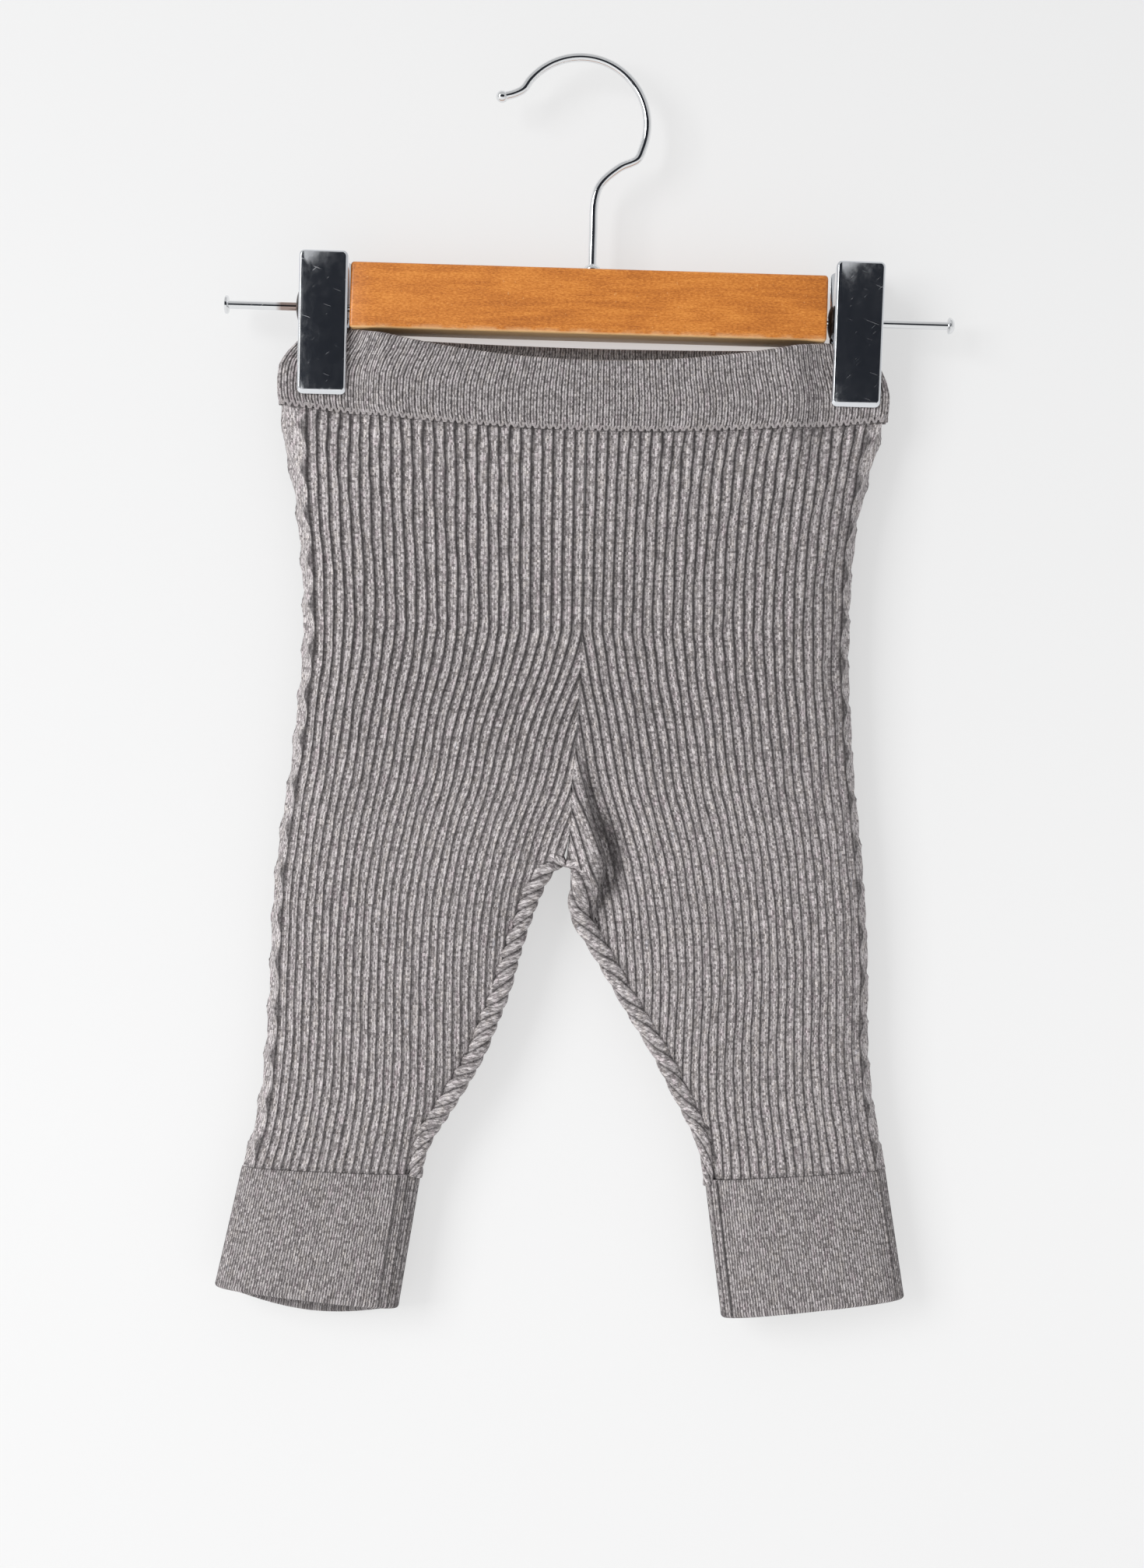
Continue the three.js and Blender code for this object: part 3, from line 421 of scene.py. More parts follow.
class LegForm:
    """The smooth form of one leg panel, and the places of its ribs."""

    def __init__(self, side):
        self.side = side
        self.measured = {}

    def column(self, name, z):
        return value_at(LEG_COLUMNS, LEG_ROWS, name, z)

    def section(self, z, closed=True):
        side_name = SIDE_NAMES[self.side]
        inner = self.column(f"inner_{side_name}", z)
        back_drop = COURSE_DROP * smooth(WAIST_SEAM_Z, BACK_LEVEL_Z, z)
        front_drop = COURSE_DROP + WAIST_EXTRA_DROP * smooth(BACK_LEVEL_Z, WAIST_SEAM_Z, z)
        bow = smooth(COURSE_BOW_END_Z, COURSE_BOW_FROM_Z, z)
        by_cuff = smooth(CUFF_COURSES_FROM_Z, CUFF_SEAM_Z, z)
        lower, less = (by_cuff * value for value in CUFF_COURSES[self.side])

        def drop(face, f):
            return np.where(face < 0, front_drop, back_drop) * (f + bow * f * (1 - f)) + lower - less * f

        def closing(inset, distance):
            return leg_closing(z, inset, distance) if closed else 0.0 * distance

        return Section(
            side=self.side,
            z=z,
            outer=self.column(f"outer_{side_name}", z),
            inner=inner * self.side,
            depth=self.column("depth", z),
            closing=closing,
            drop=drop,
            gap=SEAM_GAP / 2,
            tuck=INSEAM_TUCK,
            creased=True,
        )

    def even_pitch(self, z):
        return half_section(self.section(z, closed=False), 0)[2][-1] / BODY_RIBS

    def pitch(self, z):
        if z >= NEW_RIBS_Z:
            return self.even_pitch(z)
        carry = 1 - smooth(NEW_RIBS_Z, NEW_RIBS_Z - NEW_RIBS_FADE, z)
        scale = self.even_pitch(NEW_RIBS_Z) / self.column("pitch", NEW_RIBS_Z)
        return self.column("pitch", z) * (1 + (scale - 1) * carry)

    def measure(self, z):
        if z not in self.measured:
            pitch = self.pitch(z)
            self.measured[z] = (pitch, half_section(self.section(z), 0)[2][-1] / pitch)
        return self.measured[z]

    def edge_ribs(self, face_sign, z):
        """Ribs from the cable's middle to the panel's edge, on the front (+1) or the back (-1)."""
        pitch, ribs = self.measure(z)
        by_cuff = smooth(CUFF_OFFSET_FROM_Z, CUFF_SEAM_Z, z)
        full = SEAM_OFFSET_RIBS + (CUFF_OFFSET_RIBS - SEAM_OFFSET_RIBS) * by_cuff
        offset = full * smooth(CROTCH_Z, SEAM_OFFSET_END_Z, z)
        return ribs - face_sign * offset - leg_closing(z, 0, 0) * SEAM_GAP / 2 / pitch

    def points(self, v, z, inset):
        ribs = self.measure(z)[1]
        below, top = CABLE_TURN_RIBS[self.side]
        turn = below + (top - below) * smooth(CABLE_TURN_END_Z, WAIST_SEAM_Z, z)
        nearness = np.maximum(0, 1 - np.abs(v) / ribs)
        shares = (v + turn * nearness + rib_wobble(v, z) * np.minimum(1, 4 * nearness)) / ribs
        return section_points(self.section(z), shares, inset)


def rib_wobble(v, z):
    """Small sideways unevenness of the ribs, in ribs."""
    slow = 0.045 * np.sin(2 * np.pi * (z / 31 + 0.23 * v + 0.1 * np.sin(v)))
    quick = 0.024 * np.sin(2 * np.pi * (z / 12.3 + 0.61 * v))
    return slow + quick * (1 + 0.8 * smooth(-150, -118, z))


def undulation(x, z):
    """Soft hollows and swells of the front, in millimetres."""
    broad = 0.45 * np.sin(2 * np.pi * (x / 71 + z / 160)) * np.sin(2 * np.pi * (z / 97 + 0.2))
    small = 0.22 * np.sin(2 * np.pi * (x / 29 - z / 61 + 0.3)) * np.sin(2 * np.pi * (z / 43 - x / 90))
    return broad + small


def rib_place(v):
    """Distance from the cable's middle, place across a rib and distance from its groove, in ribs."""
    distance = np.abs(v)
    along = (distance - CABLE_HALF_RIBS) % 1.0
    return distance, along, np.minimum(along, 1 - along)


def rib_relief(v, z):
    """Height of the ribs and the cable, fuller towards the waist."""
    distance, along, groove = rib_place(v)
    crown = 0.70 + 0.30 * np.sin(np.pi * along)
    full = RIB_RELIEF * (0.9 + 0.3 * smooth(CROTCH_Z, BACK_LEVEL_Z, z))
    ribs = full * crown * (1 - np.exp(-((groove / GROOVE_HALF) ** 2)))
    return np.where(distance < CABLE_HALF_RIBS, cable_relief(v, z), ribs)


def cable_relief(v, z):
    phase = np.pi * (z - WAIST_SEAM_Z) / CABLE_PITCH
    height = np.zeros_like(v)
    for strand in (0, 1):
        middle = CABLE_SWING * np.cos(phase + strand * np.pi)
        above = 0.72 + 0.28 * np.sin(phase + strand * np.pi)
        across = np.clip((v - middle) / CABLE_STRAND, -1, 1)
        height = np.maximum(height, CABLE_RELIEF * above * np.sqrt(1 - across * across))
    return height * smooth(CABLE_HALF_RIBS, CABLE_HALF_RIBS - 0.25, np.abs(v))


def rib_painted_shade(v, z):
    """How much painted shade a point gets, the shade that falls in a groove: from 0 on a crown to 1 at the
    bottom, and between the cable's strands.
    """
    distance, _, groove = rib_place(v)
    tight = 0.92 + 0.08 * smooth(CROTCH_Z, BACK_LEVEL_Z, z)
    half = PAINTED_SHADE_HALF * (1 + 0.22 * smooth(CROTCH_Z, BACK_LEVEL_Z, z))
    ribs = np.exp(-((groove / half) ** 2)) * tight
    cable = 0.75 * np.clip(1 - cable_relief(v, z) / (0.5 * CABLE_RELIEF), 0, 1) ** 1.5
    return np.where(distance < CABLE_HALF_RIBS, cable, ribs)


def rib_columns():
    """Rib positions of the outer skin's lines, the same on the front and the back."""
    cable = np.arange(0, CABLE_HALF_RIBS - CABLE_COLUMN / 2, CABLE_COLUMN)
    ribs = [CABLE_HALF_RIBS + rib + share for rib in range(MOST_RIBS) for share in COLUMN_SHARES]
    half = np.concatenate((cable, ribs))
    return np.concatenate((-half[:0:-1], half))


def plain_columns():
    half = np.concatenate(([0.0], CABLE_HALF_RIBS + np.arange(0, MOST_RIBS)))
    return np.concatenate((-half[:0:-1], half))


def row_heights(step):
    count = int(round((WAIST_SEAM_Z - CUFF_SEAM_Z) / step))
    return np.linspace(WAIST_SEAM_Z, CUFF_SEAM_Z, count + 1)


class Shell:
    """Points, faces, stitch coordinates and painted shade of a closed wall of cloth."""

    def __init__(self):
        self.points = []
        self.stitches = []
        self.painted_shades = []
        self.quads = []
        self.triangles = []
        self.count = 0

    def add_points(self, points, stitches, painted_shade):
        start = self.count
        self.points.append(points)
        self.stitches.append(stitches)
        self.painted_shades.append(painted_shade)
        self.count += len(points)
        return np.arange(start, self.count)

    def add_grid(self, index, flip):
        """Faces between rows of point numbers, where trimmed columns repeat a number."""
        a, b = index[:-1, :-1].ravel(), index[1:, :-1].ravel()
        c, d = index[1:, 1:].ravel(), index[:-1, 1:].ravel()
        whole = (a != d) & (b != c)
        self.add_faces(np.stack([a, b, c, d], 1)[whole], flip)
        upper = (a == d) & (b != c)
        self.add_faces(np.stack([a, b, c], 1)[upper], flip)
        lower = (a != d) & (b == c)
        self.add_faces(np.stack([a, b, d], 1)[lower], flip)

    def add_rings(self, rows):
        index = np.array(rows)
        self.add_grid(np.concatenate([index, index[:, :1]], axis=1), False)

    def add_faces(self, faces, flip):
        if flip:
            faces = faces[:, ::-1]
        (self.quads if faces.shape[1] == 4 else self.triangles).append(faces)

    def bridge(self, left, left_at, right, right_at, flip):
        """Triangles between two lines of points, each with its place along the line."""
        i = j = 0
        faces = []
        while i < len(left) - 1 or j < len(right) - 1:
            next_left = left_at[i + 1] if i < len(left) - 1 else np.inf
            next_right = right_at[j + 1] if j < len(right) - 1 else np.inf
            if next_left <= next_right:
                faces.append((left[i], left[i + 1], right[j]))
                i += 1
            else:
                faces.append((left[i], right[j + 1], right[j]))
                j += 1
        self.add_faces(np.array(faces), flip)

    def build(self, name, material, stitch_period=None):
        points = np.concatenate(self.points)
        points = (points + np.array([ORIGIN_FROM_SHAFT, 0, 0])) * MM
        faces = [face for group in self.quads + self.triangles for face in group.tolist()]
        mesh = bpy.data.meshes.new(name)
        mesh.from_pydata(points.tolist(), [], faces)
        tidy_mesh(mesh)
        self.add_stitch_map(mesh, stitch_period)
        return add_object(name, mesh, material)

    def add_stitch_map(self, mesh, period):
        """A map of the knit: wales across, courses down; and a layer with the painted shade of each point.
        """
        corners = np.empty(len(mesh.loops), int)
        mesh.loops.foreach_get("vertex_index", corners)
        starts = np.empty(len(mesh.polygons), int)
        mesh.polygons.foreach_get("loop_start", starts)
        stitches = np.concatenate(self.stitches)[corners]
        if period:
            high = np.maximum.reduceat(stitches[:, 0], starts)
            sizes = np.diff(np.append(starts, len(corners)))
            behind = np.repeat(high, sizes) - stitches[:, 0] > period / 2
            stitches[behind, 0] += period
        layer = mesh.uv_layers.new(name="knit")
        layer.data.foreach_set("uv", stitches.astype(np.float32).ravel())
        shade_paint = mesh.attributes.new("painted_shade", "FLOAT", "POINT")
        shade_paint.data.foreach_set("value", np.concatenate(self.painted_shades).astype(np.float32))


def tidy_mesh(mesh):
    """Turns every face outwards and shades it smooth."""
    work = bmesh.new()
    work.from_mesh(mesh)
    bmesh.ops.recalc_face_normals(work, faces=work.faces)
    work.to_mesh(mesh)
    work.free()
    mesh.polygons.foreach_set("use_smooth", [True] * len(mesh.polygons))
    mesh.update()


def add_object(name, mesh, material):
    thing = bpy.data.objects.new(name, mesh)
    bpy.context.scene.collection.objects.link(thing)
    mesh.materials.append(material)
    return thing


def valley_shade(points):
    """Deep shade at the foot of the lip, where little light reaches."""
    distance, sunk = beside(CREASES[0][2], points[:, 0], points[:, 2])
    near = np.exp(-(((distance - VALLEY_MIDDLE) / VALLEY_HALF) ** 2))
    return VALLEY_SHADE * near * smooth(0.35 * LIP_DEPTH, LIP_DEPTH, sunk) * (points[:, 1] < 0)


def panel_skin(shell, form, columns, heights, place, painted_shade, flip):
    """One skin of a leg panel, trimmed at its seams. Returns its edges with their places."""
    index = np.zeros((len(heights), len(columns)), int)
    spans = []
    for r, z in enumerate(heights):
        low, high = -form.edge_ribs(-1, z), form.edge_ribs(1, z)
        first = max(int(np.searchsorted(columns, low, "right")) - 1, 0)
        last = int(np.searchsorted(columns, high, "left"))
        v = np.clip(columns[first : last + 1], low, high)
        stitches = np.stack([v * WALES_PER_RIB, np.full_like(v, -z / COURSE)], 1)
        points = place(v, z)
        # Each point's painted shade goes on with it
        numbers = shell.add_points(points, stitches, painted_shade(v, z, points))
        index[r, first : last + 1] = numbers
        index[r, :first] = numbers[0]
        index[r, last + 1 :] = numbers[-1]
        spans.append((numbers, v))
    shell.add_grid(index, flip)
    return index, spans


def leg_panel(side, material):
    """A thick ribbed sheet rolled round the side, open at its seams."""
    form = LegForm(side)
    shell = Shell()

    def outside(v, z):
        return raised(lambda a, b: form.points(a, b, 0), v, z, 0.1, 0.5, rib_relief(v, z), side)

    # Painted shade in the rib grooves and in the valley beside the crease's lip
    def hollows(v, z, points):
        return np.maximum(rib_painted_shade(v, z), valley_shade(points))

    outer_heights = row_heights(ROW_STEP)
    inner_heights = row_heights(INNER_ROW_STEP)
    outer, outer_spans = panel_skin(
        shell, form, rib_columns(), outer_heights, outside, hollows, False
    )
    # The inside skin has an even painted shade
    inner, inner_spans = panel_skin(
        shell, form, plain_columns(), inner_heights, lambda v, z: form.points(v, z, WALL),
        lambda v, z, points: np.full_like(v, INSIDE_PAINTED_SHADE), True
    )
    for column, flip in ((0, False), (-1, True)):
        shell.bridge(outer[:, column], -outer_heights, inner[:, column], -inner_heights, flip)
    for row, flip in ((0, True), (-1, False)):
        outer_numbers, outer_v = outer_spans[row]
        inner_numbers, inner_v = inner_spans[row]
        shell.bridge(outer_numbers, outer_v, inner_numbers, inner_v, flip)
    return shell.build(f"knit_leg_{SIDE_NAMES[side]}", material)


def inseam(side, material):
    """The rolled inseam of one leg: twisted strands about a middle line."""
    curve = catmull(INSEAMS[side], 24)
    length = distances(curve[:, :3])
    at = np.linspace(0, length[-1], int(length[-1] / INSEAM_STEP))
    middle = points_at(at, length, curve)
    radius = np.interp(at, length, curve[:, 3])
    radius[[0, -1]] = 0.02
    front = np.array([0.0, -1.0, 0.0])
    turns = np.arange(INSEAM_SIDES) / INSEAM_SIDES - 0.5
    angles = 2 * np.pi * turns
    swell = INSEAM_SWELL[side]
    shell = Shell()
    rows = []
    for s, point, tangent, r in zip(at, middle, directions(middle), radius):
        opening = side * np.cross(tangent, front)
        strand = s / INSEAM_TWIST[side] + 0.1 * math.sin(s / 3.1) + INSEAM_STRANDS * turns
        crown = np.abs(np.sin(np.pi * strand)) ** INSEAM_ROUNDNESS
        reach = r * swell * (1 - INSEAM_RELIEF * (1 - crown))
        across = (reach * np.sin(angles))[:, None] * opening
        forward = (INSEAM_FLATTENED * reach * np.cos(angles))[:, None] * front
        stitches = np.stack([WALES_PER_RIB * strand, np.full(INSEAM_SIDES, s / COURSE)], 1)
        centre = point - (swell - 1) * r * opening
        # Painted shade between the strands
        shade_paint = INSEAM_PAINTED_SHADE * (1 - crown) ** 1.2
        rows.append(shell.add_points(centre + across + forward, stitches, shade_paint))
    shell.add_rings(rows)
    return shell.build(f"knit_inseam_{SIDE_NAMES[side]}", material, WALES_PER_RIB * INSEAM_STRANDS)


# Waistband and cuffs

@dataclass
class FineRib:
    """A fine rib round a tube: how many ribs, lines of points in each, relief, how dark the shade
    painted in its grooves is and how narrow that painted shade is, and how much shallower every
    second groove is."""

    ribs: int
    lines: int
    relief: float
    painted_shade: float
    sharpness: float
    pairing: float


BAND_RIB = FineRib(426, 4, 0.36, 0.98, 0.6, 0.62)
CUFF_RIB = FineRib(150, 4, 0.26, 0.82, 1.15, 0.0)
INSIDE_RELIEF = 0.6
# Even painted shade on the inside faces of the cloth
INSIDE_PAINTED_SHADE = 0.45
GROOVE_DEPTH = 0.8
FAR_AWAY = 1e3


def ring_profile(outer_rows, inner_rows, rim_steps):
    """Up the outside, over the rim, down the inside and back: (level, inset, rim) triples."""
    angles = np.pi * np.arange(1, rim_steps) / rim_steps
    up = [(level, 0.0, 0.0) for level in np.linspace(0, 1, outer_rows)]
    over = [(1.0, WALL * (1 - np.cos(angle)) / 2, np.sin(angle)) for angle in angles]
    down = [(level, WALL, 0.0) for level in np.linspace(1, 0, inner_rows)]
    under = [(0.0, WALL * (1 + np.cos(angle)) / 2, -0.25 * np.sin(angle)) for angle in angles]
    return up + over + down + under


def knit_tube(name, material, profile, place, height, rib, outward, groove=None):
    """A closed ribbed tube. place(turn, level, inset) gives its smooth points."""
    shell = Shell()
    count = rib.ribs * rib.lines
    turns = np.arange(count) / count
    across = 0.5 - 0.5 * np.cos(2 * np.pi * turns * rib.ribs)
    every_second = 1 - rib.pairing * (0.5 - 0.5 * np.cos(np.pi * turns * rib.ribs))
    crown = 1 - (1 - across**0.7) * every_second
    rows = []
    for level, inset, rim in profile:
        inside = inset >= WALL / 2
        ribbing = rib.relief * crown * (INSIDE_RELIEF if inside else 1.0) * np.sign(1 - 2 * inset / WALL)
        # Painted shade: in the grooves, over the inside faces and in the cuffs' cut grooves
        shade_paint = rib.painted_shade * (1 - crown) ** rib.sharpness
        if inside:
            shade_paint = np.maximum(shade_paint, INSIDE_PAINTED_SHADE)
        if groove is not None and inset == 0:
            cut = groove(turns, level)
            ribbing = ribbing - GROOVE_DEPTH * cut
            shade_paint = np.maximum(shade_paint, cut)

        def surface(a, b):
            return place(a, b, inset)

        points = raised(surface, turns, level, 0.25 / rib.ribs, 0.04, ribbing, outward)
        points[:, 2] += rim * 0.9 if rim > 0 else rim
        stitches = np.stack([turns * rib.ribs, np.full(count, level * height / COURSE)], 1)
        rows.append(shell.add_points(points, stitches, shade_paint))
    shell.add_rings(rows + [rows[0]])
    return shell.build(name, material, rib.ribs)


def band_section(level, side):
    z = WAIST_SEAM_Z + SEAM_GAP + (BAND_TOP_Z - WAIST_SEAM_Z - SEAM_GAP) * level
    seam = LegForm(-1).section(WAIST_SEAM_Z)

    def drop(face, f):
        at_seam = seam.drop(face, f)
        x = (1 - f) * BAND_HALF_WIDTH
        hanging = 1 - np.clip((x / BAND_SAG_HALF) ** 2, 0, 1)
        sag = np.where(face < 0, BAND_FRONT_SAG, BAND_BACK_SAG) * hanging
        return at_seam + (sag - at_seam) * level

    return Section(
        side=side,
        z=z,
        outer=value_at(BAND_COLUMNS, BAND_ROWS, f"outer_{SIDE_NAMES[side]}", level),
        inner=0.0,
        depth=value_at(BAND_COLUMNS, BAND_ROWS, "depth", level),
        closing=lambda inset, distance: 0.0 * distance,
        drop=drop,
    )


def band_points(turns, level, inset):
    quarter = (turns % 1.0) * 4
    whole = np.floor(quarter).astype(int) % 4
    t = quarter - np.floor(quarter)
    share = np.where(whole % 2 == 0, t, 1 - t)
    face_sign = np.where(quarter < 2, 1.0, -1.0)
    left = (whole == 0) | (whole == 3)
    points = np.empty((len(turns), 3))
    for side, chosen in ((-1, left), (1, ~left)):
        points[chosen] = section_points(band_section(level, side), (face_sign * share)[chosen], inset)
    return points


def waistband(material):
    height = BAND_TOP_Z - WAIST_SEAM_Z
    profile = ring_profile(22, 8, 5)
    return knit_tube("knit_waistband", material, profile, band_points, height, BAND_RIB, 1)


def cuff_section(side, level):
    seam, hem = CUFFS[side]["seam"], CUFFS[side]["hem"]
    outer, inner, z, front_drop, back_drop = (a + (b - a) * (1 - level) for a, b in zip(seam, hem))

    def drop(face, f):
        hanging = np.sin(np.pi * np.clip(f, 0, 1)) ** HEM_SAG_POWER
        return front_drop * f + np.where(face > 0, (back_drop - front_drop) * hanging, 0)

    return Section(
        side=side,
        z=z,
        outer=outer,
        inner=inner,
        depth=CUFF_DEPTH + (CUFF_HEM_DEPTH - CUFF_DEPTH) * (1 - level),
        closing=lambda inset, distance: 1.0 + 0.0 * distance,
        drop=drop,
    )


def cuff(side, material):
    def place(turns, level, inset):
        around = (turns % 1.0) * 2
        shares = np.where(around <= 1, around, around - 2)
        return section_points(cuff_section(side, level), shares, inset)

    def groove(turns, level):
        seam, hem = CUFFS[side]["seam"], CUFFS[side]["hem"]
        width = (seam[0] - seam[1] + (hem[0] - hem[1] - seam[0] + seam[1]) * (1 - level)) * CUFF_ROUND
        from_inner = np.where(turns % 1.0 <= 0.5, 1 - 2 * (turns % 1.0), FAR_AWAY) * width
        cut = np.zeros_like(turns)
        for middle, depth in CUFF_GROOVES[side]:
            cut = np.maximum(cut, depth * np.exp(-(((from_inner - middle) / CUFF_GROOVE_HALF) ** 2)))
        return cut

    height = CUFFS[side]["seam"][2] - CUFFS[side]["hem"][2]
    profile = [(1 - level, inset, -rim) for level, inset, rim in ring_profile(32, 14, 6)]
    name = f"knit_cuff_{SIDE_NAMES[side]}"
    return knit_tube(name, material, profile, place, height, CUFF_RIB, side, groove)


# Hanger

def plain_mesh(name, points, faces, material):
    """A solid from points in millimetres about the shaft."""
    points = (np.asarray(points, float) + np.array([ORIGIN_FROM_SHAFT, 0, 0])) * MM
    mesh = bpy.data.meshes.new(name)
    mesh.from_pydata(points.tolist(), [], [list(face) for face in faces])
    tidy_mesh(mesh)
    mesh.set_sharp_from_angle(angle=HARD_EDGE)
    return add_object(name, mesh, material)


def ring_faces(ring_count, ring_size, closed_ends=True):
    faces = []
    for r in range(ring_count - 1):
        for k in range(ring_size):
            n = (k + 1) % ring_size
            a, b = r * ring_size, (r + 1) * ring_size
            faces.append((a + k, a + n, b + n, b + k))
    if closed_ends:
        faces.append(tuple(range(ring_size)))
        faces.append(tuple(range((ring_count - 1) * ring_size, ring_count * ring_size)))
    return faces


def turned(profile, sides, centre, upright=False):
    """Rings of a profile of (along, radius) pairs, turned about an axis along X or upright."""
    points = []
    for along, radius in profile:
        for angle in 2 * np.pi * np.arange(sides) / sides:
            a, b = radius * np.cos(angle), radius * np.sin(angle)
            offset = (a, b, along) if upright else (along, a, b)
            points.append(tuple(c + o for c, o in zip(centre, offset)))
    return points, ring_faces(len(profile), sides)


def distances(path, power=1.0):
    """The length of a path up to each of its points, with each step's length to a power."""
    steps = np.linalg.norm(np.diff(path, axis=0), axis=1) ** power
    return np.concatenate(([0], np.cumsum(steps)))


def points_at(at, length, path):
    return np.stack([np.interp(at, length, path[:, axis]) for axis in range(3)], axis=1)


def directions(path):
    """Unit tangents of a path."""
    tangents = np.gradient(path, axis=0)
    return tangents / np.linalg.norm(tangents, axis=1, keepdims=True)


def ring(point, first, second, sides):
    """Points round a centre, by two half axes."""
    angles = 2 * np.pi * np.arange(sides) / sides
    return point + np.outer(np.cos(angles), first) + np.outer(np.sin(angles), second)


def tube_along(path, radius, sides):
    """Rings round a path that lies in a plane of constant Y."""
    path = np.asarray(path, float)
    across = np.array([0.0, 1.0, 0.0])
    points = []
    for point, tangent in zip(path, directions(path)):
        points.extend(ring(point, radius * np.cross(tangent, across), radius * across, sides))
    return points, ring_faces(len(path), sides)


def join_parts(name, parts, material):
    points, faces = [], []
    for part_points, part_faces in parts:
        start = len(points)
        points.extend(tuple(p) for p in part_points)
        faces.extend(tuple(i + start for i in face) for face in part_faces)
    return plain_mesh(name, points, faces, material)


def on_line(t, start, end, a, b):
    return ((end - t) * a + (t - start) * b) / (end - start)


def catmull(points, steps):
    """A smooth curve through points, with knots spaced by the root of the distance."""
    points = np.asarray(points, float)
    padded = np.vstack([2 * points[0] - points[1], points, 2 * points[-1] - points[-2]])
    curve = []
    for i in range(1, len(padded) - 2):
        p = padded[i - 1 : i + 3]
        knots = distances(p, 0.5)
        for t in np.linspace(knots[1], knots[2], steps, endpoint=False):
            a = [on_line(t, knots[k], knots[k + 1], p[k], p[k + 1]) for k in range(3)]
            b = [on_line(t, knots[k], knots[k + 2], a[k], a[k + 1]) for k in range(2)]
            curve.append(on_line(t, knots[1], knots[2], b[0], b[1]))
    curve.append(points[-1])
    return np.array(curve)


def hook_path():
    centre_z = HOOK_WIRE - HOOK_RADIUS
    points = [(HOOK_FOOT_X, 0, BAR_TOP_Z + 0.9), (HOOK_FOOT_X, 0, -57)]
    points += [(0.5, 0, -46), (2.2, 0, -40.6), (8.5, 0, -34.8)]
    for angle in np.radians(np.arange(-30, 151, 10)):
        across, up = HOOK_RADIUS * np.cos(angle), HOOK_RADIUS * np.sin(angle)
        points.append((HOOK_CENTRE_X + across, 0, centre_z + up))
    points += [(-27.4, 0, -11.4), (-31.2, 0, -12.4)]
    return catmull(points, 8)


def ball(centre, radius, sides=20):
    profile = [(-radius * np.cos(t), max(radius * np.sin(t), 0.02)) for t in np.linspace(0, np.pi, 12)]
    return turned(profile, sides, centre)


def hook(material):
    path = hook_path()
    collar_profile = [(0, 2.4), (0.25, 2.75), (0.9, 2.8), (1.5, 2.5), (2.0, 2.0), (2.3, 1.5)]
    collar = turned(collar_profile, 32, (HOOK_FOOT_X, 0, BAR_TOP_Z + CLEARANCE), upright=True)
    parts = [tube_along(path, HOOK_WIRE, 20), ball(path[-1], 2.0), collar]
    return join_parts("steel_hook", parts, material)


def rod(material):
    end = ROD_HALF_LENGTH
    profile = [
        (-end, 1.6), (-end + 0.1, 2.7), (-end + 0.3, 3.0), (-end + 1.0, 3.0), (-end + 1.25, 2.6),
        (-end + 1.5, ROD_RADIUS), (0, ROD_RADIUS), (end - 2.4, ROD_RADIUS), (end - 2.2, 2.4),
        (end - 1.9, 2.75), (end - 1.4, 2.7), (end - 0.8, 2.3), (end - 0.3, 1.6), (end, 0.5),
    ]
    return join_parts("steel_rod", [turned(profile, 28, (0, 0, ROD_Z))], material)


def rounded_outline(width, height, radius, steps):
    """A rectangle with round corners, as (across, up) pairs round its middle."""
    outline = []
    for corner, (sx, sz) in enumerate(((1, 1), (-1, 1), (-1, -1), (1, -1))):
        for k in range(steps + 1):
            angle = np.pi / 2 * (corner + k / steps)
            outline.append((
                sx * (width / 2 - radius) + radius * np.cos(angle),
                sz * (height / 2 - radius) + radius * np.sin(angle),
            ))
    return outline


def bar(material):
    """The wooden bar, with eased edges and ends."""
    middle_z = BAR_TOP_Z - BAR_HEIGHT / 2
    half = BAR_LENGTH / 2
    stations = [(-half + along, inset) for along, inset in BAR_STATIONS]
    stations += [(x, 0.0) for x in np.linspace(-half + 8, half - 8, 24)]
    stations += [(half - along, inset) for along, inset in BAR_STATIONS[::-1]]
    points = []
    for x, inset in stations:
        outline = rounded_outline(BAR_THICKNESS - 2 * inset, BAR_HEIGHT - 2 * inset, BAR_EDGE, 5)
        points.extend((BAR_MIDDLE_X + x, across, middle_z + up) for across, up in outline)
    faces = ring_faces(len(stations), len(outline))
    return plain_mesh("wood_bar", points, faces, material)


def clip_plate(side, face):
    """The plate of a jaw: a flat mirror face with bright bevels down its sides."""
    clip_x = CLIP_X[side]
    top_z, bottom_z = CLIP_ENDS_Z[side]
    height = top_z - bottom_z
    layers = (
        (0.0, 0.25, 0.25, 0.25), (-0.1, 0.0, 0.0, 0.0), (-0.45, 0.0, 0.0, 0.0), (-0.55, 0.1, 0.1, 0.1),
        (-CLIP_PLATE + 0.05, CLIP_BEVEL - 0.12, CLIP_LIP - 0.1, 0.4),
        (-CLIP_PLATE, CLIP_BEVEL, CLIP_LIP, 0.5),
    )
    top_y = CLIP_BACK + height * np.sin(CLIP_TILT)
    points = []
    for y, inset, bottom, top in layers:
        corner = CLIP_CORNER * (1 - inset / 4)
        outline = rounded_outline(CLIP_WIDTH - 2 * inset, height - bottom - top, corner, 5)
        shift = (bottom - top) / 2
        for across, up in outline:
            down = height / 2 - up - shift
            py = -top_y + down * np.sin(CLIP_TILT) + y * np.cos(CLIP_TILT)
            pz = top_z - down * np.cos(CLIP_TILT) + y * np.sin(CLIP_TILT)
            points.append((clip_x + across, py if face < 0 else -py, pz))
    return points, ring_faces(len(layers), len(outline))


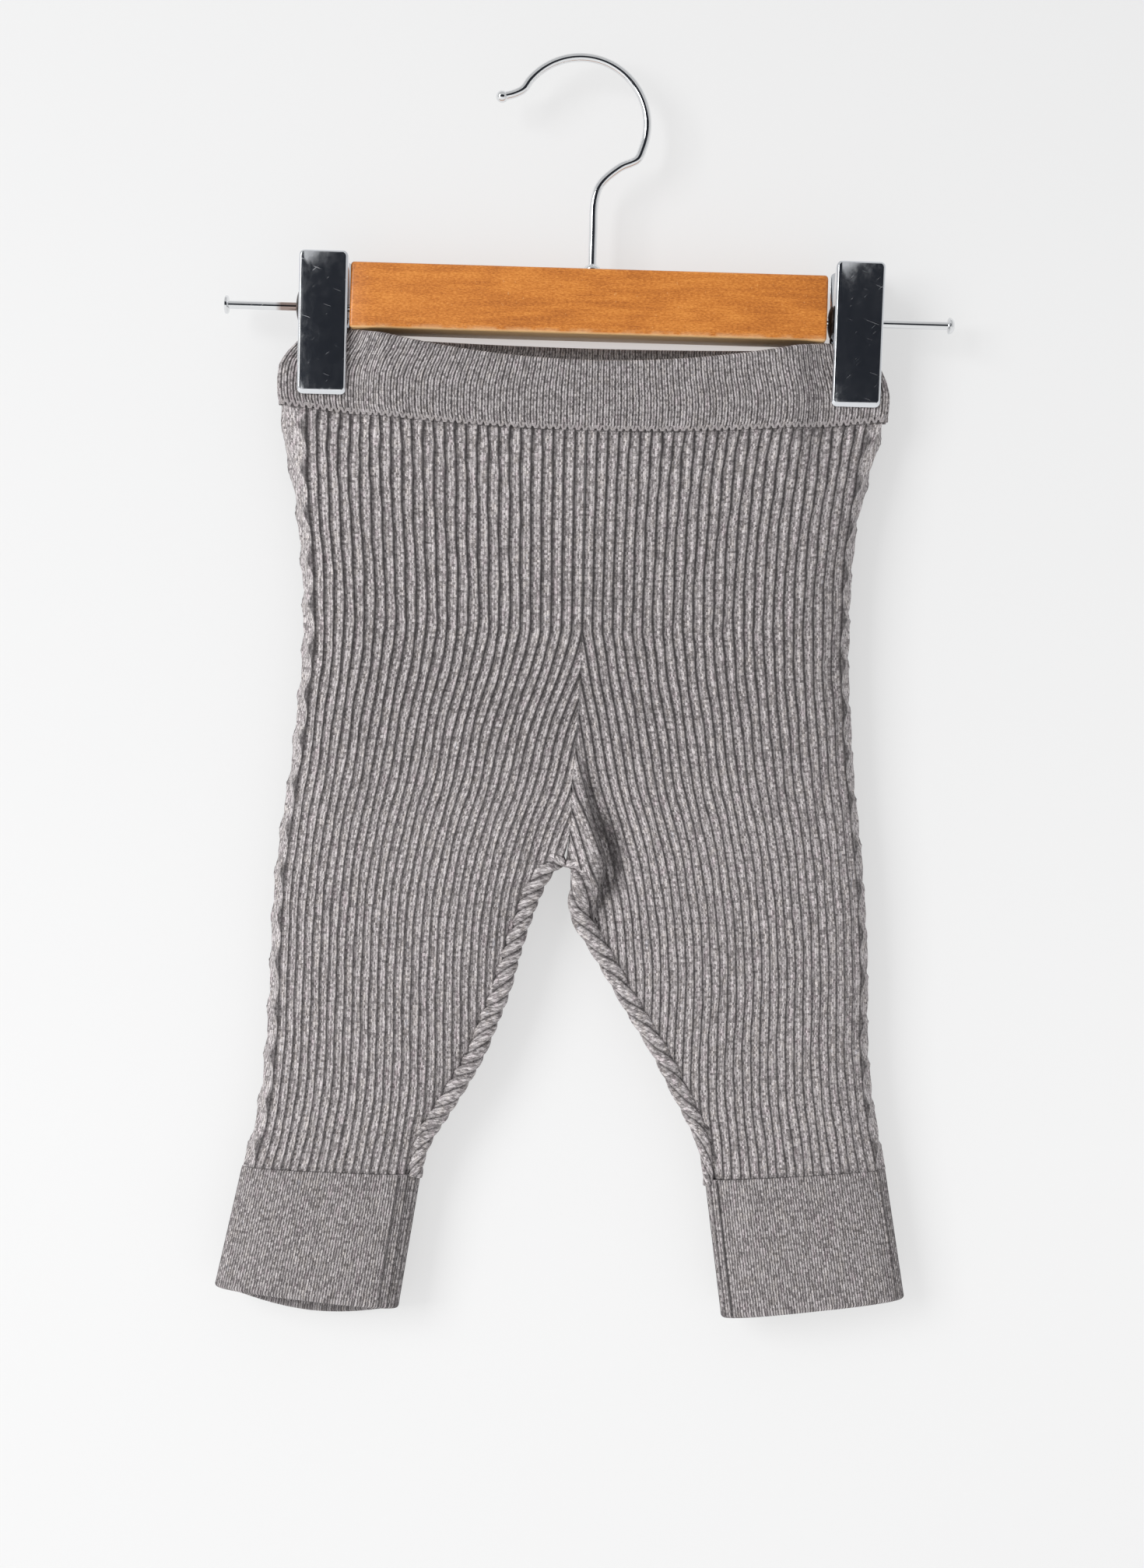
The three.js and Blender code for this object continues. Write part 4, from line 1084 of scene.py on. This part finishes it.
def clip_ear(side, face, sign):
    """An ear in (Y, Z) from the plate's back round the rod, a plate thick."""
    clip_x = CLIP_X[side]
    top_z, bottom_z = CLIP_ENDS_Z[side]
    top_y = CLIP_BACK + (top_z - bottom_z) * np.sin(CLIP_TILT)

    def lean(z):
        return -top_y + (top_z - z) * np.sin(CLIP_TILT) - 0.1

    foot_z = BAND_TOP_Z + 3.5
    outline = [(lean(top_z - 1.6), top_z - 1.6), (lean(foot_z), foot_z), (-1.5, ROD_Z - 3.4)]
    for angle in np.linspace(-1.98, 1.3, 12):
        outline.append((EAR_RADIUS * np.cos(angle), ROD_Z + EAR_RADIUS * np.sin(angle)))
    outline.append((lean(top_z - 2) + 3.4, top_z - 3.5))
    outline.append((lean(top_z - 1.6) + 2.4, top_z - 1.6))
    inner = CLIP_WIDTH / 2 - CLIP_PLATE if face < 0 else CLIP_WIDTH / 2 - 2 * CLIP_PLATE - CLEARANCE
    points = []
    for across in (inner, inner + CLIP_PLATE):
        points.extend((clip_x + sign * across, y if face < 0 else -y, z) for y, z in outline)
    return points, ring_faces(2, len(outline))


def clip_jaw(side, face, material):
    parts = [clip_plate(side, face), clip_ear(side, face, -1), clip_ear(side, face, 1)]
    face_name = "front" if face < 0 else "back"
    return join_parts(f"steel_clip_{SIDE_NAMES[side]}_{face_name}", parts, material)


def clip_spring(side, material):
    """A close coil of wire round the rod."""
    turns, wire, radius, half, steps = 8, 0.5, 3.2, 4.3, 20
    centre = np.array([CLIP_X[side], 0, ROD_Z])
    angles = 2 * np.pi * np.arange(turns * steps + 1) / steps
    along = np.linspace(-half, half, len(angles))
    coil = np.stack([along, radius * np.cos(angles), radius * np.sin(angles)], axis=1)
    points = []
    for offset, tangent in zip(coil, directions(coil)):
        outward = np.array([0, offset[1], offset[2]]) / radius
        points.extend(ring(centre + offset, wire * outward, wire * np.cross(tangent, outward), 8))
    name = f"dark_clip_{SIDE_NAMES[side]}_spring"
    return join_parts(name, [(points, ring_faces(len(coil), 8))], material)


def clip_washer(side, material):
    inner = -CLIP_WIDTH / 2 - CLEARANCE
    bore = ROD_RADIUS + 0.1
    profile = [
        (inner - 1.1, bore), (inner - 1.1, 2.4), (inner - 0.85, 3.6), (inner - 0.5, 4.8),
        (inner - 0.15, 5.5), (inner, 5.4), (inner, bore),
    ]
    part = turned(profile, 36, (CLIP_X[side], 0, ROD_Z))
    return join_parts(f"dark_clip_{SIDE_NAMES[side]}_washer", [part], material)


# Seams

def waist_stitches(material):
    """The zigzag of linking stitches between the waistband and the legs."""
    pitch, swing, thread, sides = 2.3, 0.75, 0.42, 6
    off_cloth, samples = 0.25, 8001
    line = band_points(np.linspace(0, 1, samples) % 1.0, 0.0, -off_cloth)
    length = distances(line)
    count = int(round(length[-1] / pitch)) * 4
    steps = np.arange(count)
    path = points_at(length[-1] * steps / count, length, line)
    path[:, 2] += swing * np.where(steps % 4 < 2, 1, -1) * (0.9 + 0.1 * np.sin(steps))
    tangents = np.roll(path, -1, axis=0) - np.roll(path, 1, axis=0)
    tangents /= np.linalg.norm(tangents, axis=1, keepdims=True)
    points = []
    for point, tangent in zip(path, tangents):
        outward = np.array([0.0, 1.0 if point[1] > 0 else -1.0, 0.0])
        other = np.cross(tangent, outward)
        other /= max(np.linalg.norm(other), 1e-6)
        points.extend(ring(point, 0.6 * thread * outward, thread * other, sides))
    faces = ring_faces(count, sides, closed_ends=False)
    last = (count - 1) * sides
    faces += [(last + k, last + (k + 1) % sides, (k + 1) % sides, k) for k in range(sides)]
    return join_parts("knit_waist_stitches", [(points, faces)], material)


# Materials

YARN_DARK = (0.175, 0.158, 0.160)
YARN = (0.420, 0.389, 0.391)
YARN_LIGHT = (0.785, 0.738, 0.744)
WALE_SHADE = (0.12, 0.105, 0.105)
GROOVE_SHADE = (0.018, 0.014, 0.015)
YARN_TINTS = (
    (0.30, (1.03, 0.975, 1.0)), (0.43, (1.0, 0.995, 1.0)), (0.55, (1.0, 1.0, 0.995)),
    (0.64, (1.02, 1.0, 0.965)), (0.74, (0.965, 0.99, 1.025)),
)
WOOD_DARK = (0.40, 0.115, 0.012)
WOOD = (0.58, 0.188, 0.022)
WOOD_LIGHT = (0.74, 0.280, 0.045)
WOOD_FLECK = (0.80, 0.45, 0.18)
WOOD_WORN = (0.80, 0.50, 0.26)
UNDERSIDE_PAINTED_LIGHT = (0.95, 0.60, 0.28)
MIRROR = (0.80, 0.82, 0.85)
WIRE = (0.82, 0.83, 0.84)
RUST = (0.22, 0.11, 0.07)
DARK_LOW = (0.020, 0.019, 0.019)
DARK_HIGH = (0.085, 0.075, 0.070)
WALL_COLOUR = (0.36, 0.362, 0.365)
WALL_GLOW = (1.0, 0.997, 0.992)
CARD_COLOUR = (0.012, 0.015, 0.022)
SKY_COLOUR = (0.985, 0.99, 1.0)
SKY_STRENGTH = 0.59


class Graph:
    """Short calls for a material's nodes."""

    def __init__(self, name):
        self.material = bpy.data.materials.new(name)
        self.material.use_nodes = True
        self.tree = self.material.node_tree
        self.shader = self.tree.nodes["Principled BSDF"]

    def put(self, socket, value):
        if isinstance(value, bpy.types.NodeSocket):
            self.tree.links.new(value, socket)
        else:
            colour = socket.type == "RGBA" and len(value) == 3
            socket.default_value = (*value, 1) if colour else value

    def node(self, kind, inputs, output=0, **settings):
        """A new node's output. inputs has its sockets by name or number."""
        made = self.tree.nodes.new("ShaderNode" + kind)
        for name, value in settings.items():
            setattr(made, name, value)
        for key, value in inputs.items():
            self.put(made.inputs[key], value)
        return made.outputs[output]

    def math(self, operation, a, b=0.0):
        return self.node("Math", {0: a, 1: b}, operation=operation)

    def times(self, a, b):
        return self.math("MULTIPLY", a, b)

    def minus(self, a, b):
        return self.math("SUBTRACT", a, b)

    def weighted(self, *parts):
        """The sum of values, each times its weight."""
        total = None
        for weight, value in parts:
            part = self.times(value, weight)
            total = part if total is None else self.math("ADD", total, part)
        return total

    def split(self, vector):
        return self.node("SeparateXYZ", {0: vector}, slice(None))

    def join(self, x, y):
        return self.node("CombineXYZ", {0: x, 1: y, 2: 0.0})

    def noise(self, vector, scale, detail=2.0, roughness=0.5):
        """Noise at one scale, or at a scale for each axis."""
        if isinstance(scale, tuple):
            vector = self.node("VectorMath", {0: vector, 1: scale}, operation="MULTIPLY")
            scale = 1.0
        inputs = {"Vector": vector, "Scale": scale, "Detail": detail, "Roughness": roughness}
        return self.node("TexNoise", inputs, "Fac")

    def span(self, value, low, high, out_low=0.0, out_high=1.0):
        inputs = {"Value": value, "From Min": low, "From Max": high, "To Min": out_low, "To Max": out_high}
        return self.node("MapRange", inputs)

    def ramp(self, value, stops):
        node = self.tree.nodes.new("ShaderNodeValToRGB")
        elements = node.color_ramp.elements
        while len(elements) < len(stops):
            elements.new(0.5)
        for element, (place, colour) in zip(elements, stops):
            element.position = place
            element.color = (*colour, 1)
        self.put(node.inputs[0], value)
        return node.outputs[0]

    def mix(self, factor, a, b, blend="MIX"):
        """A mix of two colours, whose sockets are 6 and 7 of the node and 2 of its outputs."""
        return self.node("Mix", {0: factor, 6: a, 7: b}, 2, data_type="RGBA", blend_type=blend)

    def bump(self, height, distance, strength=1.0, normal=None):
        inputs = {"Height": height, "Distance": distance, "Strength": strength}
        if normal is not None:
            inputs["Normal"] = normal
        return self.node("Bump", inputs)

    def position(self):
        return self.node("TexCoord", {}, "Object")

    def finish(self, **inputs):
        for key, value in inputs.items():
            self.put(self.shader.inputs[key.replace("_", " ")], value)
        return self.material


def knit_material():
    """Heathered grey yarn in small V stitches, laid out by the map of wales and courses, with painted
    shade between the wales, and in the grooves, the valley by the crotch and on inside faces as a layer on
    the points gives it.
    """
    g = Graph("knit_heather")
    wale, course, _ = g.split(g.node("UVMap", {}, uv_map="knit"))
    across = g.math("ABSOLUTE", g.minus(g.math("FRACT", wale), 0.5))
    leg_course = g.minus(course, g.times(across, 0.8))
    strand = g.math("FLOOR", g.times(wale, 2.0))
    stitch = g.join(strand, g.math("FLOOR", course))
    stitch_tone = g.node("TexWhiteNoise", {"Vector": stitch}, "Value")
    fibre = g.noise(g.join(g.times(wale, 2.6), leg_course), 1.6, 2.0, 0.6)
    place = g.position()
    speckle = g.noise(place, 3600.0, 2.0, 0.6)
    tone = g.weighted((0.24, stitch_tone), (0.48, fibre), (0.28, speckle))
    yarn = g.ramp(tone, ((0.36, YARN_DARK), (0.49, YARN), (0.63, YARN_LIGHT)))
    tint = g.ramp(g.noise(place, (420.0, 420.0, 190.0), 2.0, 0.6), YARN_TINTS)
    colour = g.mix(1.0, yarn, tint, "MULTIPLY")
    # Painted shade between the wales
    gap = g.math("POWER", g.times(across, 2.0), 5.0)
    colour = g.mix(g.times(gap, 0.5), colour, WALE_SHADE)
    # Painted shade in the grooves, the valley by the crotch and on the inside faces, from a layer on the
    # points
    painted_shade = g.node("Attribute", {}, "Fac", attribute_name="painted_shade")
    colour = g.mix(g.times(painted_shade, 0.96), colour, GROOVE_SHADE)
    legs_of_v = g.math("ABSOLUTE", g.minus(g.math("FRACT", leg_course), 0.5))
    height = g.minus(g.minus(1.0, legs_of_v), gap)
    height = g.math("ADD", height, g.times(fibre, 0.7))
    normal = g.bump(height, 0.00022, 0.9)
    normal = g.bump(speckle, 0.0001, 0.7, normal)
    return g.finish(
        Base_Color=colour, Roughness=0.92, Sheen_Weight=0.1, Sheen_Roughness=0.5, Normal=normal
    )


def wood_material():
    """Orange brown varnish over faint grain, worn pale along the lower front edge, and lighter below in
    painted light.
    """
    g = Graph("varnished_wood")
    place = g.position()
    warp = g.noise(place, (16.0, 40.0, 55.0), 2.0, 0.5)
    rings = g.math("SINE", g.times(warp, 34.0))
    grain = g.noise(place, (60.0, 700.0, 700.0), 3.0, 0.6)
    pores = g.noise(place, (900.0, 2600.0, 2600.0), 2.0, 0.6)
    tone = g.weighted((0.03, rings), (0.30, grain), (0.54, pores), (0.16, warp))
    colour = g.ramp(tone, ((0.36, WOOD_DARK), (0.50, WOOD), (0.64, WOOD_LIGHT)))
    flecks = g.span(g.noise(place, (1300.0, 1300.0, 900.0), 1.0, 0.5), 0.74, 0.80)
    colour = g.mix(g.times(flecks, 0.35), colour, WOOD_FLECK)
    _, depth, height = g.split(place)
    bottom = (BAR_TOP_Z - BAR_HEIGHT) * MM
    low = g.span(height, bottom + 0.0019, bottom + 0.0004)
    front = g.span(depth, -0.0045, -0.0058)
    worn = g.times(g.times(low, front), g.span(g.noise(place, 180.0, 3.0), 0.42, 0.58))
    colour = g.mix(g.times(worn, 0.55), colour, WOOD_WORN)
    # Painted light: the underside is lightened as if more light reached it
    under = g.span(height, bottom + 0.0007, bottom + 0.0001)
    colour = g.mix(g.times(under, 0.95), colour, UNDERSIDE_PAINTED_LIGHT)
    normal = g.bump(pores, 0.00005, 0.4)
    rough = g.span(pores, 0.3, 0.7, 0.34, 0.48)
    return g.finish(
        Base_Color=colour, Roughness=rough, Coat_Weight=0.2, Coat_Roughness=0.2, Normal=normal
    )


def fine_lines(g, place, slope):
    """Sparse hairline scratches that run one way."""
    x, _, z = g.split(place)
    along = g.math("ADD", x, g.times(z, slope))
    across = g.minus(z, g.times(x, slope))
    lines = g.noise(g.join(g.times(along, 130.0), g.times(across, 2600.0)), 1.0, 1.0, 0.5)
    return g.span(lines, 0.70, 0.78)


def rusty(g, place, tint):
    """The wire's colour, with rust where the rod meets the left clip."""
    x, _, _ = g.split(place)
    left, right = ((CLIP_X[-1] + off + ORIGIN_FROM_SHAFT) * MM for off in (-16.5, -8))
    inside = g.times(g.span(x, left, left + 0.002), g.span(x, right + 0.002, right))
    return g.mix(g.times(inside, 0.75), tint, RUST)


def steel_material(name, scratch_scale, roughness, tint, rust=False):
    """Polished plate with fine scratches."""
    g = Graph(name)
    place = g.position()
    smudge = g.span(g.noise(place, scratch_scale, 4.0, 0.7), 0.40, 0.80)
    marks = g.math("MAXIMUM", fine_lines(g, place, 0.9), fine_lines(g, place, -0.35))
    worn = g.span(smudge, 0.0, 1.0, roughness, 2.6 * roughness)
    rough = g.math("ADD", worn, g.times(marks, 0.25))
    colour = rusty(g, place, tint) if rust else tint
    return g.finish(Base_Color=colour, Metallic=1.0, Roughness=rough)


def dark_material():
    g = Graph("dark_steel")
    mottle = g.noise(g.position(), 900.0, 3.0, 0.6)
    colour = g.ramp(mottle, ((0.35, DARK_LOW), (0.65, DARK_HIGH)))
    normal = g.bump(mottle, 0.00004, 0.5)
    return g.finish(Base_Color=colour, Metallic=0.7, Roughness=0.42, Normal=normal)


# Studio

WALL_Y = 0.0128
FLOOR_Z = -0.62
LIGHT_TARGET = (0.0, 0.0, -0.25)


def one_sided_white():
    """Pale matt paint that also glows, painted light that softens the shadows on it and fades a little
    towards the top; clear from behind, so that the wall hides nothing in other views.
    """
    g = Graph("pale_wall")
    _, _, height = g.split(g.position())
    g.finish(
        Base_Color=WALL_COLOUR, Roughness=1.0, Specular_IOR_Level=0.0,
        Emission_Color=WALL_GLOW, Emission_Strength=g.span(height, -0.36, 0.06, 0.535, 0.455),
    )
    nodes = g.tree.nodes
    clear = nodes.new("ShaderNodeBsdfTransparent")
    behind = g.node("NewGeometry", {}, "Backfacing")
    mixed = g.node("MixShader", {0: behind, 1: g.shader.outputs[0], 2: clear.outputs[0]})
    g.put(nodes["Material Output"].inputs["Surface"], mixed)
    return g.material


def stage_plane(name, outline, material):
    mesh = bpy.data.meshes.new(name)
    mesh.from_pydata(outline, [], [tuple(range(len(outline)))])
    thing = add_object(name, mesh, material)
    thing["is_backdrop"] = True
    return thing


def studio():
    white = one_sided_white()
    foot = [(-3, WALL_Y, FLOOR_Z), (3, WALL_Y, FLOOR_Z)]
    stage_plane("wall", foot + [(3, WALL_Y, 2.5), (-3, WALL_Y, 2.5)], white)
    stage_plane("floor", [(-3, -4, FLOOR_Z), (3, -4, FLOOR_Z)] + foot[::-1], white)
    # A dark card seen only in reflections, which paints dark reflections into the polished steel
    dark = Graph("dark_card").finish(Base_Color=CARD_COLOUR, Roughness=1.0)
    y, half, low, high = -1.6, 1.5, -1.6, 0.75
    shape = [(-half, y, low), (-half, y, high), (half, y, high), (half, y, low)]
    card = stage_plane("dark_card", shape, dark)
    for ray in ("camera", "diffuse", "shadow", "transmission"):
        setattr(card, f"visible_{ray}", False)


def area_light(name, place, size, power, colour):
    data = bpy.data.lights.new(name, "AREA")
    data.shape = "RECTANGLE"
    data.size, data.size_y = size
    data.energy = power
    data.color = colour
    lamp = bpy.data.objects.new(name, data)
    lamp.location = place
    lamp.rotation_euler = (Vector(LIGHT_TARGET) - Vector(place)).to_track_quat("-Z", "Y").to_euler()
    bpy.context.scene.collection.objects.link(lamp)
    return lamp


def lights():
    area_light("key", place=(-1.35, -1.45, 0.22), size=(1.0, 1.2), power=25, colour=(1.0, 0.997, 0.99))
    area_light("fill", place=(0.75, -1.0, -1.25), size=(1.0, 0.8), power=10, colour=(1.0, 0.995, 0.985))
    world = bpy.data.worlds.new("studio")
    world.use_nodes = True
    sky = world.node_tree.nodes["Background"].inputs
    sky["Color"].default_value = (*SKY_COLOUR, 1)
    sky["Strength"].default_value = SKY_STRENGTH
    bpy.context.scene.world = world


def camera():
    data = bpy.data.cameras.new("camera")
    data.sensor_width = SENSOR
    data.lens = SENSOR * (VIEW_DISTANCE / VIEW_SCALE) / max(PHOTO_WIDTH, PHOTO_HEIGHT)
    data.clip_start, data.clip_end = 0.01, 20
    thing = bpy.data.objects.new("camera", data)
    x, z = VIEW_CENTRE
    place = Matrix.Translation(((x + ORIGIN_FROM_SHAFT) * MM, -VIEW_DISTANCE * MM, z * MM))
    thing.matrix_world = place @ Matrix.Rotation(math.pi / 2, 4, "X") @ Matrix.Rotation(VIEW_ROLL, 4, "Z")
    bpy.context.scene.collection.objects.link(thing)
    bpy.context.scene.camera = thing


# The whole

def dress(piece, slot, *nodes):
    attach(piece, "root")
    if nodes:
        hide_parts(*nodes)
    return piece


def leg_cut(side):
    """Flat width, length and area of a leg panel, from the form's own sizes."""
    form = LegForm(side)
    heights = row_heights(10)
    widths = [form.measure(z)[0] * (form.edge_ribs(1, z) + form.edge_ribs(-1, z)) for z in heights]
    area = np.trapz(widths, -heights) * MM * MM
    return max(widths) * MM, (WAIST_SEAM_Z - CUFF_SEAM_Z) * MM, float(area)


def build_cloth():
    knit = knit_material()
    for side in (-1, 1):
        name = SIDE_NAMES[side]
        leg = dress(leg_panel(side, knit), "knit", f"leg_{name}")
        rope = dress(inseam(side, knit), "knit")
        width, length, area = leg_cut(side)
        ankle = dress(cuff(side, knit), "knit", f"cuff_{name}")
    band = dress(waistband(knit), "knit", "waistband")
    stitches = dress(waist_stitches(knit), "knit")


def build_hanger():
    mirror = steel_material("clip_steel", (420.0, 420.0, 260.0), 0.07, MIRROR)
    wire = steel_material("wire_steel", (700.0, 700.0, 700.0), 0.045, WIRE, rust=True)
    dark = dark_material()
    dress(bar(wood_material()), "wood", "hanger_bar")
    dress(hook(wire), "steel", "hook")
    dress(rod(wire), "steel", "rod")
    for side in (-1, 1):
        name = SIDE_NAMES[side]
        dress(clip_jaw(side, -1, mirror), "steel", f"clip_{name}_front")
        dress(clip_jaw(side, 1, mirror), "steel", f"clip_{name}_back")
        dress(clip_spring(side, dark), "dark_steel", f"clip_{name}_spring")
        dress(clip_washer(side, dark), "dark_steel", f"clip_{name}_washer")


def corners(bounds):
    return [[round(value, 6) for value in corner] for corner in bounds]


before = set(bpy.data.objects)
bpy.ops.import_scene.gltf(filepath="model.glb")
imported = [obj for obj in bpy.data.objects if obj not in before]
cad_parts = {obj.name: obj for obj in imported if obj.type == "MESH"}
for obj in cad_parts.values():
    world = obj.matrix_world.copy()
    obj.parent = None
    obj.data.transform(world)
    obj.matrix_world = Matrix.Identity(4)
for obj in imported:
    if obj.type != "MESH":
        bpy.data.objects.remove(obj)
cad_box = corners(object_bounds())
bpy.context.scene.view_settings.view_transform = "Standard"
camera()
build_cloth()
build_hanger()
studio()
lights()
{"cad": cad_box, "visual": corners(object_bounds())}
